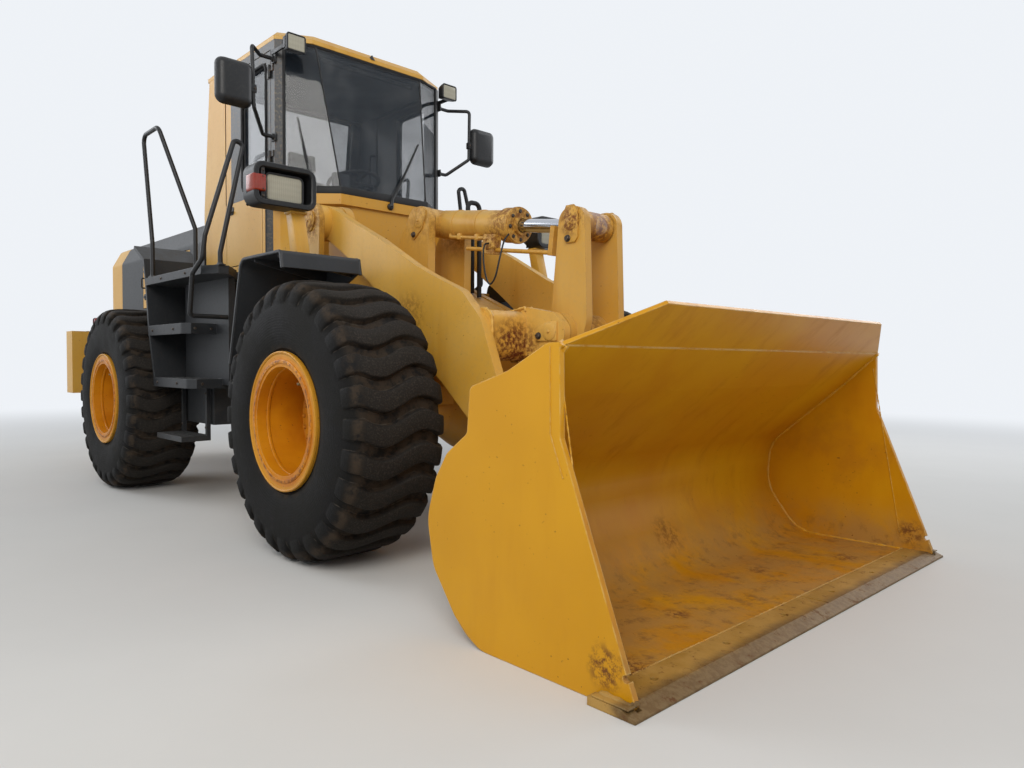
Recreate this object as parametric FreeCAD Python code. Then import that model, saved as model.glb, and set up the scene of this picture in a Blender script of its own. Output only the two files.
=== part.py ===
import FreeCAD, Part
import math
import os

Vec = FreeCAD.Vector
os.makedirs("parts", exist_ok=True)

# Articulated wheel loader, millimetres. Sizes below are measured from the ground point under the
# front axle: x forward, y to the left, z up. The finished pieces are moved forward by front_axle_x,
# so that the origin lies on the ground under the middle of the machine.
front_axle_x = 1572.5

# Running gear
wheelbase = 3300.0
wheel_track = 2200.0
tyre_radius = 780.0
tyre_width = 590.0
tread_depth = 38.0
lug_count = 28
lug_bar = 104.0
lug_wave = 36.0
rim_seat_radius = 318.0
rim_flange_radius = 385.0
rim_width = 560.0
rim_wall = 18.0
flange_thickness = 24.0
disc_thickness = 28.0
disc_inset = 300.0
hub_radius = 205.0
hub_length = 115.0
spindle_radius = 90.0
axle_tube_radius = 135.0
differential_radius = 245.0
brake_radius = 232.0
shaft_radius = 45.0
shaft_height = 830.0
trunnion_radius = 110.0

# Centre hinge and steering
hinge_x = -1650.0
hinge_pin_radius = 45.0
lug_radius = 120.0
lug_thickness = 60.0
fork_thickness = 42.0
upper_lug_z = 1390.0
lower_lug_z = 640.0
steer_height = 1020.0
steer_base = (-2300.0, 400.0)
steer_tip = (-1250.0, 345.0)
steer_barrel_radius = 50.0
steer_rod_radius = 27.0
steer_stroke_back = 290.0
steer_window = 62.0
steer_pad_gap = 38.0

# Front frame
frame_plate = 60.0
inner_plate_y = 420.0
outer_plate_y = 660.0
outer_plate = 40.0
pivot_a = (-920.0, 2080.0)
pivot_radius = 50.0
ear_radius = 130.0
tilt_base = (-340.0, 2075.0)
tilt_ear_y = 130.0
tilt_ear_thickness = 60.0
lift_base = (-1250.0, 1250.0)
lift_tip = (170.0, 1210.0)
lift_pin_radius = 40.0
lift_barrel_radius = 82.5
lift_rod_radius = 45.0
saddle_top = 960.0
fender_inner_y = 770.0
fender_outer_y = 1300.0
fender_wall = 14.0
fender_top_z = 1745.0
lamp_centre = (-475.0, 1170.0, 2150.0)
lamp_depth = 270.0
lamp_width = 400.0
lamp_height = 250.0
lamp_rim = 34.0
lens_low = (1059.0, 2070.0)
lens_high = (1264.0, 2203.0)

# Boom and bucket linkage
arm_y = 540.0
arm_thickness = 60.0
pivot_b = (1200.0, 330.0)
bucket_pin_radius = 45.0
arm_boss_radius = 112.0
arm_boss_width = 140.0
crank_pivot = (970.0, 1280.0)
crank_pin_radius = 48.0
crank_top = (1030.0, 1885.0)
crank_foot = (760.0, 520.0)
crank_plate_y = 115.0
crank_plate = 50.0
link_pin = (1310.0, 810.0)
link_pin_radius = 40.0
link_width = 200.0
cross_tube = (640.0, 1260.0)
cross_tube_half = 142.0
tilt_barrel_radius = 95.0
tilt_gland_radius = 110.0
tilt_rod_radius = 41.0
indicator_y = -95.0
indicator_drop = 165.0
indicator_radius = 13.0

# Bucket
bucket_half_width = 1408.0
bucket_side = 24.0
bucket_shell = 22.0
edge_tip_x = 2455.0
edge_overhang = 45.0
edge_thickness = 30.0
edge_back_x = 2262.0
edge_hole_x = 2335.0
edge_hole_radius = 14.0
edge_hole_rows = (237.5, 712.5, 1187.5)
side_hole = (2384.0, 107.0)
side_hole_radius = 13.0
lug_plate = 40.0

# Cab
cab_half_width = 750.0
cab_wall = 50.0
cab_floor_z = 1800.0
sill_z = 2370.0
roof_z = 3520.0
roof_thickness = 75.0
roof_slope = 45.0
cab_deck = 60.0
seat_height = 260.0
cab_rear_x = -2650.0
cab_rear_top_x = -2520.0
cab_post = 60.0
rear_window_half = 600.0
tub_top_z = 2260.0
tub_side_x = -1500.0
door_foot_x = -1545.0
door_rear_x = -2200.0
door_front_x = -1400.0
door_header = 60.0
door_gap = 6.0
window_rear_x = -1895.0
window_front_x = -1475.0
window_low_z = 2430.0
pane = 8.0
door_top_z = roof_z - roof_thickness - door_header
window_high_z = door_top_z - 75
hinge_radius = 11.0
hinge_leaf = 45.0

# Rear body
rail_y = 400.0
rail_thickness = 50.0
hood_half_width = 700.0
hood_front_x = -2790.0
hood_rear_x = -5080.0
hood_base_z = 1440.0
hood_top_z = 2350.0
hood_wall = 36.0
hatch_front_x = -3120.0
hatch_rear_x = -4400.0
hatch_low_z = 1640.0
hatch_high_z = 2120.0
louvre_pitch = 45.0
louvre_slot = 18.0
rail_end_x = -5150.0
tail_x = -5600.0
tail_half_width = 1180.0
tail_low_z = 760.0
tail_top_z = 1420.0
grille_rear_x = -5420.0
grille_half_width = 640.0
grille_low_z = 1500.0
grille_high_z = 2200.0
grille_pitch = 46.0
grille_slot = 26.0
tow_pin_radius = 26.0
tow_ear = 35.0
tow_low_z = 860.0
tow_high_z = 985.0
ladder_y = 1230.0
platform_inner_y = 770.0
platform_z = 1780.0
rail_tube_radius = 17.0
step_lip = 14.0
hose_radius = 17.0
tail_lamp_size = (60.0, 230.0, 130.0)

# Clearances
fit = 0.3
pin_fit = 0.06
side_gap = 5.0
eye_gap = 10.0


def corner_wire(corners, place):
    """A closed outline of straight runs; each corner is (u, v, radius), rounded as far as its runs allow."""
    count = len(corners)
    starts, middles, ends = [], [], []
    for i, (u, v, radius) in enumerate(corners):
        here = Vec(u, v, 0)
        before = Vec(corners[i - 1][0], corners[i - 1][1], 0) - here
        after = Vec(corners[(i + 1) % count][0], corners[(i + 1) % count][1], 0) - here
        room = 0.49 * min(before.Length, after.Length)
        before.normalize()
        after.normalize()
        half = before.getAngle(after) / 2
        radius = min(radius, room * math.tan(half))
        if radius > 0:
            inward = before + after
            inward.normalize()
            starts.append(here + before * (radius / math.tan(half)))
            ends.append(here + after * (radius / math.tan(half)))
            middles.append(here + inward * (radius / math.sin(half) - radius))
        else:
            starts.append(here)
            ends.append(here)
            middles.append(None)
    edges = []
    for i in range(count):
        following = starts[(i + 1) % count]
        if middles[i] is not None:
            edges.append(Part.Arc(place(starts[i]), place(middles[i]), place(ends[i])).toShape())
        if ends[i].distanceToPoint(following) > 0.01:
            edges.append(Part.LineSegment(place(ends[i]), place(following)).toShape())
    return Part.Wire(edges)


def bent_strip(path, thickness):
    """The closed outline of a folded plate. The path (u, v, radius) is its outer face, and the plate
    lies to the left of the way along it."""
    runs = [(b[0] - a[0], b[1] - a[1]) for a, b in zip(path, path[1:])]
    lengths = [math.hypot(*run) for run in runs]
    normals = [(-run[1] / length, run[0] / length) for run, length in zip(runs, lengths)]
    inner = []
    for i, (u, v, radius) in enumerate(path):
        first = normals[max(i - 1, 0)]
        second = normals[min(i, len(normals) - 1)]
        scale = thickness / (1 + first[0] * second[0] + first[1] * second[1])
        turn = first[0] * second[1] - first[1] * second[0]
        if 0 < i < len(path) - 1 and radius > 0:
            radius = max(radius - math.copysign(thickness, turn), 0)
        inner.append((u + (first[0] + second[0]) * scale, v + (first[1] + second[1]) * scale, radius))
    return list(path) + inner[::-1]


def side_plate(corners, y_from, y_to):
    """A plate seen from the side: corners are (x, z, radius)."""
    wire = corner_wire(corners, lambda p: Vec(p.x, y_from, p.y))
    return Part.Face(wire).extrude(Vec(0, y_to - y_from, 0))


def plan_plate(corners, z_from, z_to):
    """A plate seen from above: corners are (x, y, radius)."""
    wire = corner_wire(corners, lambda p: Vec(p.x, p.y, z_from))
    return Part.Face(wire).extrude(Vec(0, 0, z_to - z_from))


def end_plate(corners, x_from, x_to):
    """A plate seen from the front: corners are (y, z, radius)."""
    wire = corner_wire(corners, lambda p: Vec(x_from, p.x, p.y))
    return Part.Face(wire).extrude(Vec(x_to - x_from, 0, 0))


def block(x0, x1, y0, y1, z0, z1):
    return Part.makeBox(x1 - x0, y1 - y0, z1 - z0, Vec(x0, y0, z0))


def rod(start, end, radius):
    run = end - start
    return Part.makeCylinder(radius, run.Length, start, run)


def cross_rod(point, y_from, y_to, radius):
    """A round bar across the machine at a point (x, z)."""
    return rod(Vec(point[0], y_from, point[1]), Vec(point[0], y_to, point[1]), radius)


def upright(point, z_from, z_to, radius):
    return rod(Vec(point[0], point[1], z_from), Vec(point[0], point[1], z_to), radius)


def turned(corners, centre):
    """A body turned about a line along y; corners are (y, radius, corner radius)."""
    wire = corner_wire(corners, lambda p: Vec(centre.x, p.x, centre.z + p.y))
    return Part.Face(wire).revolve(centre, Vec(0, 1, 0), 360)


def tube_along(points, radius, bend):
    """A round tube through points, with bends of one radius."""
    edges = []
    start = points[0]
    for before, here, after in zip(points, points[1:], points[2:]):
        back = before - here
        on = after - here
        back.normalize()
        on.normalize()
        half = back.getAngle(on) / 2
        reach = bend / math.tan(half)
        inward = back + on
        inward.normalize()
        middle = here + inward * (bend / math.sin(half) - bend)
        edges.append(Part.LineSegment(start, here + back * reach).toShape())
        edges.append(Part.Arc(here + back * reach, middle, here + on * reach).toShape())
        start = here + on * reach
    edges.append(Part.LineSegment(start, points[-1]).toShape())
    ring = Part.makeCircle(radius, points[0], points[1] - points[0])
    return Part.Wire(edges).makePipeShell([Part.Wire(ring)], True, False)


def leaning(low, low_z, high, high_z):
    """A straight-sided body between two level outlines with as many corners (x, y)."""
    wires = []
    for corners, z in ((low, low_z), (high, high_z)):
        points = [Vec(x, y, z) for x, y in corners]
        wires.append(Part.makePolygon(points + points[:1]))
    return Part.makeLoft(wires, True, True)


def joined(pieces):
    first = pieces[0]
    return first.fuse(pieces[1:]).removeSplitter() if len(pieces) > 1 else first


def mirrored(shape):
    return shape.mirror(Vec(0, 0, 0), Vec(0, 1, 0))


def both_sides(pieces):
    return list(pieces) + [mirrored(piece) for piece in pieces]


def group(pieces):
    """Solids that stay separate inside one node."""
    solids = []
    for piece in pieces:
        solids.extend(piece.Solids)
    return Part.Compound(solids)


def hinge(x, face_y, heights, length):
    """Two leaves of an upright hinge on a face: the moving ones reach back, the fixed ones forward."""
    outward = 1 if face_y > 0 else -1
    axis = (x, face_y + outward * (hinge_radius + 0.5))
    y0, y1 = sorted((face_y - outward, face_y + outward * 8))
    moving, fixed = [], []
    for z in heights:
        moving += [upright(axis, z, z + length, hinge_radius), block(x - hinge_leaf, x, y0, y1, z, z + length)]
        top = z + length + fit
        fixed += [upright(axis, top, top + length, hinge_radius),
                  block(x, x + hinge_leaf, y0, y1, top, top + length)]
    return moving, fixed


def save(node, shape):
    placed = shape.translated(Vec(front_axle_x, 0, 0))
    for solid in placed.Solids:
        if not solid.isValid() or solid.Volume <= 0:
            print("check the solids of", node)
    placed.exportStep("parts/" + node + ".step")
    print(node, len(placed.Solids), round(placed.Volume / 1e6, 1))


def span(start, end):
    return math.hypot(end[0] - start[0], end[1] - start[1])


# Wheels: four tyres and rims
def tyre():
    """The casing in flats, one under each bar, and the bars, each bent one way and then the other."""
    half = tyre_width / 2
    bead = rim_width / 2 - flange_thickness - fit
    lip = rim_flange_radius + 6
    crown = tyre_radius
    base = crown - tread_depth
    lean = math.tan(math.pi / lug_count)
    left = [(-bead, rim_seat_radius - 20, 0), (-bead, lip, 0), (-half, lip + 100, 0),
            (-half + 6, crown - 190, 0), (-half + 85, base, 0)]
    section = left + [(-y, radius, 0) for y, radius, _ in left[::-1]]
    slice_end = crown * 1.1
    slice_side = [(0, 0, 0), (slice_end * lean, slice_end, 0), (-slice_end * lean, slice_end, 0)]
    wedge = end_plate(section, -200, 200).common(side_plate(slice_side, -half - 5, half + 5))
    steps = [(-half - 5, 0), (-half * 0.38, lug_wave), (half * 0.38, -lug_wave), (half + 5, 0)]
    plan = [(x - lug_bar / 2, y, 0) for y, x in steps] + [(x + lug_bar / 2, y, 0) for y, x in steps[::-1]]
    outline = [(-half, crown - 150, 0), (-half + 62, crown, 0), (half - 62, crown, 0), (half, crown - 150, 0),
               (half - 30, crown - 185, 0), (half - 130, base - 50, 0), (-half + 130, base - 50, 0),
               (-half + 30, crown - 185, 0)]
    bar = plan_plate(plan, crown - 190, crown + 5).common(end_plate(outline, -lug_bar * 2, lug_bar * 2))
    pieces = []
    for i in range(lug_count):
        for shape in (wedge, bar):
            placed = shape.copy()
            placed.rotate(Vec(0, 0, 0), Vec(0, 1, 0), 360 * i / lug_count)
            pieces.append(placed)
    seat = rod(Vec(0, -half - 5, 0), Vec(0, half + 5, 0), rim_seat_radius + fit)
    return joined(pieces).cut(seat)


def rim():
    """The rim's barrel, its two flanges, the sunk disc and the hub that turns on the spindle."""
    half = rim_width / 2
    inner = rim_seat_radius - rim_wall
    centre = Vec(0, 0, 0)
    barrel = turned([
        (-half, inner, 0), (-half, rim_flange_radius, 9), (-half + flange_thickness, rim_flange_radius, 9),
        (-half + flange_thickness, rim_seat_radius, 0), (half - flange_thickness, rim_seat_radius, 0),
        (half - flange_thickness, rim_flange_radius, 9), (half, rim_flange_radius, 9), (half, inner, 0)],
        centre)
    face = half - disc_inset
    back = face - disc_thickness
    hub_back = back - hub_length
    bore = spindle_radius + pin_fit
    disc = turned([(back, 0, 0), (back, inner + 6, 0), (face, inner + 6, 0), (face, 0, 0)], centre)
    nose = turned([(face - 5, 0, 0), (face - 5, hub_radius - 20, 0), (face + 95, hub_radius - 50, 20),
                   (face + 95, 0, 0)], centre)
    hub = turned([(hub_back, bore, 0), (hub_back, hub_radius, 0), (back + 5, hub_radius, 0),
                  (back + 5, bore, 0)], centre)
    return joined([barrel, disc, nose, hub])


def axle(x):
    """Axle housing with its differential, brake housings and the spindles that carry the hubs."""
    centre = Vec(x, 0, tyre_radius)
    hub_face = wheel_track / 2 + rim_width / 2 - disc_inset - disc_thickness - hub_length
    end = hub_face - side_gap
    tip = hub_face + hub_length - 8
    shell = turned([
        (-tip, 0, 0), (-tip, spindle_radius, 6), (-end, spindle_radius, 0), (-end, brake_radius, 20),
        (-end + 150, brake_radius, 20), (-end + 190, axle_tube_radius + 20, 30),
        (-differential_radius - 60, axle_tube_radius, 60), (-130, differential_radius, 90),
        (130, differential_radius, 90), (differential_radius + 60, axle_tube_radius, 60),
        (end - 190, axle_tube_radius + 20, 30), (end - 150, brake_radius, 20), (end, brake_radius, 20),
        (end, spindle_radius, 0), (tip, spindle_radius, 6), (tip, 0, 0)], centre)
    return shell


def wheels():
    """The right wheels are the left ones mirrored."""
    shapes = (("tyre_", tyre()), ("rim_", rim()))
    for name, x in (("front", 0.0), ("rear", -wheelbase)):
        for side, outward in (("left", 1), ("right", -1)):
            place = Vec(x, outward * wheel_track / 2, tyre_radius)
            for kind, shape in shapes:
                facing = shape if outward == 1 else mirrored(shape)
                save(kind + name + "_" + side, facing.translated(place))


def front_axle():
    """The housing, its two saddles, and the drive shaft back to the centre hinge."""
    housing = axle(0.0)
    pinion = rod(Vec(-150, 0, tyre_radius), Vec(-430, 0, tyre_radius), 115)
    saddles = both_sides([block(-150, 150, 290, 410, tyre_radius + 60, saddle_top)])
    yoke = rod(Vec(-430, 0, tyre_radius), Vec(-500, 0, tyre_radius), 75)
    shaft = rod(Vec(-500, 0, tyre_radius), Vec(hinge_x + 95, 0, shaft_height), shaft_radius)
    joint_end = rod(Vec(hinge_x + 160, 0, shaft_height), Vec(hinge_x + 60, 0, shaft_height), 62)
    save("front_axle", joined([housing, pinion, yoke, shaft, joint_end] + saddles))


def rear_axle():
    housing = axle(-wheelbase)
    x = -wheelbase
    neck = rod(Vec(x + 150, 0, tyre_radius), Vec(x + 450, 0, tyre_radius), trunnion_radius)
    tail = rod(Vec(x - 150, 0, tyre_radius), Vec(x - 530, 0, tyre_radius), trunnion_radius)
    save("rear_axle", joined([housing, neck, tail]))


def steering_pad(point, side, root_y, reach, z):
    """A level ear that reaches inward from a side plate, past the pin of a steering cylinder."""
    x = point[0]
    return plan_plate([(x - 70, side * root_y, 0), (x + 70, side * root_y, 0),
                       (x + 52, side * (point[1] + reach), 50), (x - 52, side * (point[1] + reach), 50)],
                      z, z + 30)


# Front frame: plates that carry the boom, the lift and tilt cylinders and the front axle
def front_frame():
    a = pivot_a
    inner = side_plate([
        (-1420, lower_lug_z - 20, 40), (-600, lower_lug_z - 20, 80), (-430, saddle_top, 60),
        (330, saddle_top, 50), (360, 1180, 60), (-120, 1490, 120), (-600, 1690, 120),
        (a[0] + ear_radius, a[1] - 120, 60), (a[0] + ear_radius, a[1] + ear_radius, ear_radius - 5),
        (a[0] - ear_radius, a[1] + ear_radius, ear_radius - 5), (a[0] - ear_radius, 1790, 80),
        (-1330, 1480, 100), (-1420, 1480, 40)], inner_plate_y, inner_plate_y + frame_plate)
    outer = side_plate([
        (-1365, 1140, 70), (-1150, 1100, 70), (-1020, 1300, 150), (a[0] + ear_radius - 10, 1840, 80),
        (a[0] + ear_radius, a[1] + ear_radius, ear_radius - 5),
        (a[0] - ear_radius, a[1] + ear_radius, ear_radius - 5), (a[0] - ear_radius, 1790, 80),
        (-1365, 1310, 80)], outer_plate_y, outer_plate_y + outer_plate)
    back_web = side_plate([(-1365, 1180, 0), (-1340, 1180, 0), (-1340, 1300, 60), (-1035, 1765, 0),
                           (-1055, 1780, 0), (-1365, 1310, 60)],
                          inner_plate_y + frame_plate - 5, outer_plate_y + 5)
    for slot_x, half in ((-1150, steer_pad_gap - 1), (-1325, steer_window)):
        inner = inner.cut(block(-1430, slot_x, inner_plate_y - 10, inner_plate_y + frame_plate + 10,
                                steer_height - half, steer_height + half))
    boom_pin = cross_rod(a, inner_plate_y - 12, outer_plate_y + outer_plate + 12, pivot_radius)
    lift_pin = cross_rod(lift_base, inner_plate_y - 10, outer_plate_y + outer_plate + 10, lift_pin_radius)
    pieces = both_sides([inner, outer, back_web, boom_pin, lift_pin])
    width = inner_plate_y + 5
    top = side_plate([(-890, 1824, 0), (-890, 1778, 0), (-610, 1640, 100), (-150, 1450, 100),
                      (-130, 1485, 100), (-600, 1685, 100)], -width, width)
    front_wall = side_plate([(-170, 1470, 0), (-130, 1470, 0), (340, 1170, 40), (340, 962, 0),
                             (300, 962, 0), (300, 1150, 40)], -width, width)
    floor = block(-420, 340, -width, width, saddle_top, saddle_top + 40)
    floor = floor.cut(block(-200, 200, -260, 260, saddle_top - 1, saddle_top + 41))
    rear_wall = block(-480, -430, -width, width, 960, 1580)
    pieces += [top, front_wall, floor, rear_wall]
    for z in (lower_lug_z, upper_lug_z):
        lug = plan_plate([(-1400, -width, 60), (-1100, -width, 0), (-1100, width, 0), (-1400, width, 60),
                          (hinge_x - lug_radius, lug_radius, lug_radius - 2),
                          (hinge_x - lug_radius, -lug_radius, lug_radius - 2)], z, z + lug_thickness)
        bore = upright((hinge_x, 0), z - 1, z + lug_thickness + 1, hinge_pin_radius + pin_fit)
        pieces.append(lug.cut(bore))
    ears = []
    for y in (tilt_ear_y, -tilt_ear_y - tilt_ear_thickness):
        ears.append(side_plate([
            (tilt_base[0] + 90, 1490, 0), (tilt_base[0] + 98, tilt_base[1] + 98, 92),
            (tilt_base[0] - 98, tilt_base[1] + 98, 92), (-640, 1840, 60), (-830, 1740, 0)],
            y, y + tilt_ear_thickness))
    ear_pin = cross_rod(tilt_base, -tilt_ear_y - tilt_ear_thickness - 12,
                        tilt_ear_y + tilt_ear_thickness + 12, pivot_radius)
    pieces += ears + [ear_pin]
    for side in (1, -1):
        for z in (steer_height - steer_pad_gap - 30, steer_height + steer_pad_gap):
            pieces.append(steering_pad(steer_tip, side, width, -58, z))
    carriers = [block(-960, -695, outer_plate_y + outer_plate - 5, fender_inner_y - fit, 1600, 1660),
                block(-985, -735, outer_plate_y + outer_plate - 5, fender_inner_y - fit, 1480, 1530)]
    pieces += both_sides(carriers)
    save("front_frame", joined(pieces))


def boom():
    """Two arms, their bosses, the cross tube and the bracket of the bell crank."""
    a = pivot_a
    b = pivot_b
    arm = side_plate([
        (-852, 2188, 60), (-771, 2159, 0), (-578, 2058, 0), (-209, 1889, 0), (163, 1691, 0),
        (330, 1617, 200), (594, 1512, 150), (764, 1344, 200), (878, 1063, 200), (1010, 760, 300),
        (b[0] + 100, b[1] + 60, 60), (b[0] + 40, b[1] - 90, 60), (b[0] - 80, b[1] - 80, 60),
        (b[0] - 330, 620, 200), (430, 985, 200), (lift_tip[0] + 60, lift_tip[1] - 80, 60),
        (lift_tip[0] - 60, lift_tip[1] - 70, 60), (lift_tip[0] - 84, lift_tip[1] + 20, 60),
        (lift_tip[0] - 38, lift_tip[1] + 112, 15), (-105, 1453, 60), (-337, 1626, 0), (-592, 1806, 0),
        (-853, 1956, 60), (-1010, 1990, 60), (-1010, 2180, 60)], arm_y, arm_y + arm_thickness)
    root = cross_rod(a, inner_plate_y + frame_plate + fit, outer_plate_y - fit, ear_radius - 6)
    middle = arm_y + arm_thickness / 2
    tip = cross_rod(b, middle - arm_boss_width / 2, middle + arm_boss_width / 2, arm_boss_radius)
    arm = joined([arm, root, tip])
    holes = [cross_rod(a, inner_plate_y, outer_plate_y + 50, pivot_radius + pin_fit),
             cross_rod(b, arm_y - 50, arm_y + arm_thickness + 50, bucket_pin_radius + pin_fit)]
    arm = arm.cut(holes)
    half = cross_tube_half
    x, z = cross_tube
    tube = side_plate([(x - half, z - half, 70), (x + half, z - half, 70), (x + half, z + half, 70),
                       (x - half, z + half, 70)], -arm_y - 5, arm_y + 5)
    hollow = side_plate([(x - half + 25, z - half + 25, 45), (x + half - 25, z - half + 25, 45),
                         (x + half - 25, z + half - 25, 45), (x - half + 25, z + half - 25, 45)],
                        -arm_y + 10, arm_y - 10)
    c = crank_pivot
    brackets = []
    for y in (220, -270):
        brackets.append(side_plate([
            (x + 20, z - half + 20, 0), (c[0] + 60, c[1] - 118, 90), (c[0] + 128, c[1] + 10, 100),
            (c[0] + 30, c[1] + 105, 80), (x + half, z + half + 22, 80), (x - 20, z + half - 10, 0)],
            y, y + 50))
    pin = cross_rod(c, -282, 282, crank_pin_radius)
    pieces = both_sides([arm]) + [tube.cut(hollow)] + brackets + [pin]
    save("boom", joined(pieces))


def bell_crank():
    c = crank_pivot
    plates = []
    for y in (crank_plate_y, -crank_plate_y - crank_plate):
        plates.append(side_plate([
            (crank_top[0] - 92, crank_top[1] + 92, 85), (crank_top[0] + 92, crank_top[1] + 92, 85),
            (c[0] + 175, c[1] + 60, 160), (c[0] + 110, c[1] - 160, 120),
            (crank_foot[0] + 80, crank_foot[1] - 40, 60), (crank_foot[0] + 10, crank_foot[1] - 88, 60),
            (crank_foot[0] - 85, crank_foot[1] - 10, 60), (c[0] - 100, c[1] - 130, 120),
            (c[0] - 95, c[1] + 80, 160)], y, y + crank_plate))
    hub = cross_rod(c, -215, 215, 105)
    bore = cross_rod(c, -230, 230, crank_pin_radius + pin_fit)
    outer = crank_plate_y + crank_plate + 14
    stubs = []
    for point, radius in ((crank_top, link_pin_radius), (crank_foot, link_pin_radius)):
        stubs += both_sides([cross_rod(point, crank_plate_y + 4, outer, radius)])
    save("bell_crank", joined(plates + [hub]).cut(bore).fuse(stubs).removeSplitter())


def bucket_link():
    half = link_width / 2
    bar = side_plate([
        (crank_foot[0] - 10, crank_foot[1] + 62, 0), (link_pin[0] - 10, link_pin[1] + 62, 0),
        (link_pin[0] + 10, link_pin[1] - 62, 0), (crank_foot[0] + 10, crank_foot[1] - 62, 0)],
        -half + 30, half - 30)
    eyes = [cross_rod(crank_foot, -half, half, 82), cross_rod(link_pin, -half, half, 82)]
    bores = [cross_rod(crank_foot, -half - 1, half + 1, link_pin_radius + 1),
             cross_rod(link_pin, -half - 1, half + 1, link_pin_radius + pin_fit)]
    save("bucket_link", joined([bar] + eyes).cut(bores))


# Bucket: side plates, rolled shell, spill guard, lugs and the cutting edge
def bucket():
    w = bucket_half_width
    side = side_plate([
        (2421, 32, 0), (2405, 0, 0), (1674, 0, 150), (1531, 95, 120), (1390, 272, 150), (1350, 467, 200),
        (1408, 640, 150), (1479, 745, 80), (1603, 832, 30), (1620, 1015, 30), (1834, 1080, 150),
        (2032, 1180, 80), (2090, 1180, 0), (2096, 849, 0)], w - bucket_side, w)
    side = side.cut(cross_rod(side_hole, w - bucket_side - 5, w + 5, side_hole_radius))
    path = [(2086, 1184, 0), (1893, 1003, 60), (1403, 592, 240), (1382, 295, 300), (1610, 0, 260),
            (edge_back_x - fit, 0, 0)]
    outline = bent_strip(path, bucket_shell)
    shell = side_plate(outline, -w + 2, w - 2)
    inside = side_plate(outline[len(path):], -w, w)
    guard = Part.Face(Part.makePolygon([
        Vec(2078, -w, 1176), Vec(2078, w, 1176), Vec(2244, 1007, 1337), Vec(2244, -1007, 1337),
        Vec(2078, -w, 1176)])).extrude(Vec(12, 0, -12))
    arm_lugs = []
    boss = arm_boss_width / 2
    middle = arm_y + arm_thickness / 2
    for y in (middle - boss - side_gap - lug_plate, middle + boss + side_gap):
        arm_lugs.append(side_plate([
            (pivot_b[0] - 95, pivot_b[1] - 60, 80), (pivot_b[0] + 40, pivot_b[1] - 110, 80), (1500, 110, 0),
            (1600, 300, 0), (1500, 640, 0), (1400, 640, 0), (pivot_b[0] + 50, pivot_b[1] + 125, 100),
            (pivot_b[0] - 95, pivot_b[1] + 95, 90)], y, y + lug_plate))
    pin_half = boss + side_gap + lug_plate + 12
    arm_pin = cross_rod(pivot_b, middle - pin_half, middle + pin_half, bucket_pin_radius)
    link_lugs = []
    half = link_width / 2 + side_gap
    for y in (half, -half - lug_plate):
        link_lugs.append(side_plate([
            (link_pin[0] - 90, link_pin[1] + 30, 70), (link_pin[0] - 50, link_pin[1] - 90, 70),
            (1420, 540, 0), (1560, 640, 0), (1760, 850, 0), (1680, 870, 0),
            (link_pin[0] + 20, link_pin[1] + 98, 70)], y, y + lug_plate))
    pin_half = half + lug_plate + 12
    link_bolt = cross_rod(link_pin, -pin_half, pin_half, link_pin_radius)
    lugs = [lug.cut(inside) for lug in both_sides(arm_lugs) + link_lugs]
    pieces = both_sides([side]) + [shell, guard] + lugs + both_sides([arm_pin]) + [link_bolt]
    save("bucket", joined(pieces))


def cutting_edge():
    w = bucket_half_width + edge_overhang
    blade = side_plate([(edge_back_x, 0, 0), (edge_tip_x, 0, 0), (edge_tip_x, 8, 0),
                        (edge_tip_x - 60, edge_thickness, 0), (edge_back_x, edge_thickness, 0)], -w, w)
    notch = side_plate([(edge_back_x - 5, -1, 0), (2430, -1, 0), (2430, 33, 0), (edge_back_x - 5, 33, 0)],
                       bucket_half_width - bucket_side - fit, bucket_half_width + fit)
    holes = [upright((edge_hole_x, y), -1, edge_thickness + 1, edge_hole_radius)
             for y in edge_hole_rows]
    save("cutting_edge", blade.cut(both_sides([notch] + holes)))


def cylinder_pair(base, tip, y, barrel_radius, gland_radius, rod_radius, eye_half, barrel_to):
    """A barrel with its base eye, and a rod with its piston; both lie along base to tip."""
    start = Vec(base[0], y, base[1])
    end = Vec(tip[0], y, tip[1])
    run = end - start
    run.normalize()
    eye = cross_rod(base, y - eye_half, y + eye_half, barrel_radius)
    body = rod(start + run * 60, start + run * barrel_to, barrel_radius)
    gland = rod(start + run * (barrel_to - 110), start + run * barrel_to, gland_radius)
    cavity = rod(start + run * (barrel_radius + 35), start + run * (barrel_to - 60), barrel_radius - 16)
    passage = rod(start + run * (barrel_to - 70), start + run * (barrel_to + 5), rod_radius + pin_fit)
    return start, end, run, eye, body, gland, cavity, passage


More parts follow.
